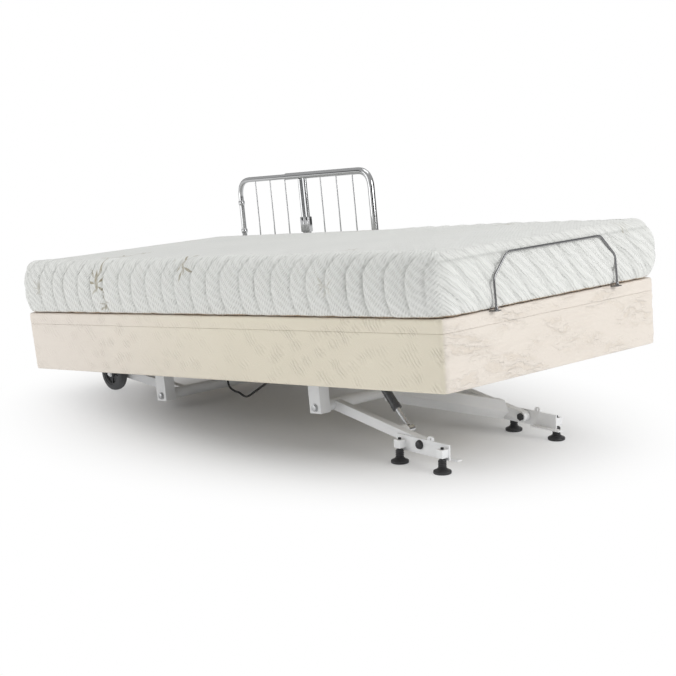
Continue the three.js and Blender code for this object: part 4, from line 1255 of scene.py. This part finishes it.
def studio_world():
    """White to look at; round the bed, a pale ceiling and darker walls with soft bright strips."""
    world = bpy.data.worlds.new("studio")
    world.use_nodes = True
    tree = world.node_tree
    direction = tree.nodes.new("ShaderNodeTexCoord").outputs["Generated"]
    parts = tree.nodes.new("ShaderNodeSeparateXYZ")
    tree.links.new(direction, parts.inputs[0])
    ceiling = remap(tree, parts.outputs["Z"], 0.1, 0.55)
    around = calc(tree, "ARCTAN2", parts.outputs["Y"], parts.outputs["X"])
    strips = remap(tree, calc(tree, "SINE", calc(tree, "MULTIPLY", around, 4.0)), 0.3, 0.85, 0.05, 0.85)
    level = blended(tree, ceiling, strips, 0.62)
    background = tree.nodes["Background"]
    background.inputs["Color"].default_value = (1.0, 1.0, 1.0, 1)
    tree.links.new(level, background.inputs["Strength"])
    seen = tree.nodes.new("ShaderNodeBackground")
    seen.inputs["Color"].default_value = (1.0, 1.0, 1.0, 1)
    path = tree.nodes.new("ShaderNodeLightPath")
    mix = tree.nodes.new("ShaderNodeMixShader")
    tree.links.new(path.outputs["Is Camera Ray"], mix.inputs["Fac"])
    tree.links.new(background.outputs["Background"], mix.inputs[1])
    tree.links.new(seen.outputs["Background"], mix.inputs[2])
    tree.links.new(mix.outputs["Shader"], tree.nodes["World Output"].inputs["Surface"])
    return world


def floor_finish():
    """A pale floor that clears to plain white away from the bed."""
    material, tree, shader = finish_named("studio_floor", (0.8, 0.8, 0.8), 0.7)
    place = object_space(tree)
    speck = grain(tree, place, 30.0, 3.0)
    tree.links.new(mixed(tree, speck, (0.79, 0.79, 0.79), (0.82, 0.82, 0.82)), shader.inputs["Base Color"])
    length = tree.nodes.new("ShaderNodeVectorMath")
    length.operation = "LENGTH"
    tree.links.new(stretched(tree, place, (0.85, 1.1, 1.0)), length.inputs[0])
    away = remap(tree, length.outputs["Value"], 0.42, 1.12)
    glow = tree.nodes.new("ShaderNodeEmission")
    glow.inputs["Color"].default_value = (1, 1, 1, 1)
    mix = tree.nodes.new("ShaderNodeMixShader")
    tree.links.new(away, mix.inputs["Fac"])
    tree.links.new(shader.outputs["BSDF"], mix.inputs[1])
    tree.links.new(glow.outputs["Emission"], mix.inputs[2])
    tree.links.new(mix.outputs["Shader"], tree.nodes["Material Output"].inputs["Surface"])
    return material


def lamp(name, location, target, size, power):
    light = bpy.data.lights.new(name, "AREA")
    light.size = size
    light.energy = power
    made = bpy.data.objects.new(name, light)
    made.location = location
    made.rotation_euler = (Vector(target) - Vector(location)).to_track_quat("-Z", "Y").to_euler()
    bpy.context.scene.collection.objects.link(made)


def make_camera():
    """Looks at the foot end from its right, a little above the mattress."""
    lens = bpy.data.cameras.new("camera")
    lens.lens = 85.9
    lens.sensor_width = 36.0
    camera = bpy.data.objects.new("camera", lens)
    bpy.context.scene.collection.objects.link(camera)
    looking = Vector((-0.72457, 0.66227, -0.19079)).normalized()
    level = looking.to_track_quat("-Z", "Y").to_matrix().to_4x4()
    roll = Matrix.Rotation(CAMERA_ROLL, 4, "Z")
    camera.matrix_world = Matrix.Translation((3.8609, -3.44805, 1.2534)) @ level @ roll
    lens.clip_end = 200
    bpy.context.scene.camera = camera


make_stage()
make_camera()
make_lead()
make_mattress()
make_base()
make_deck()
make_rail()
make_retainer()
make_frames()
make_actuators()
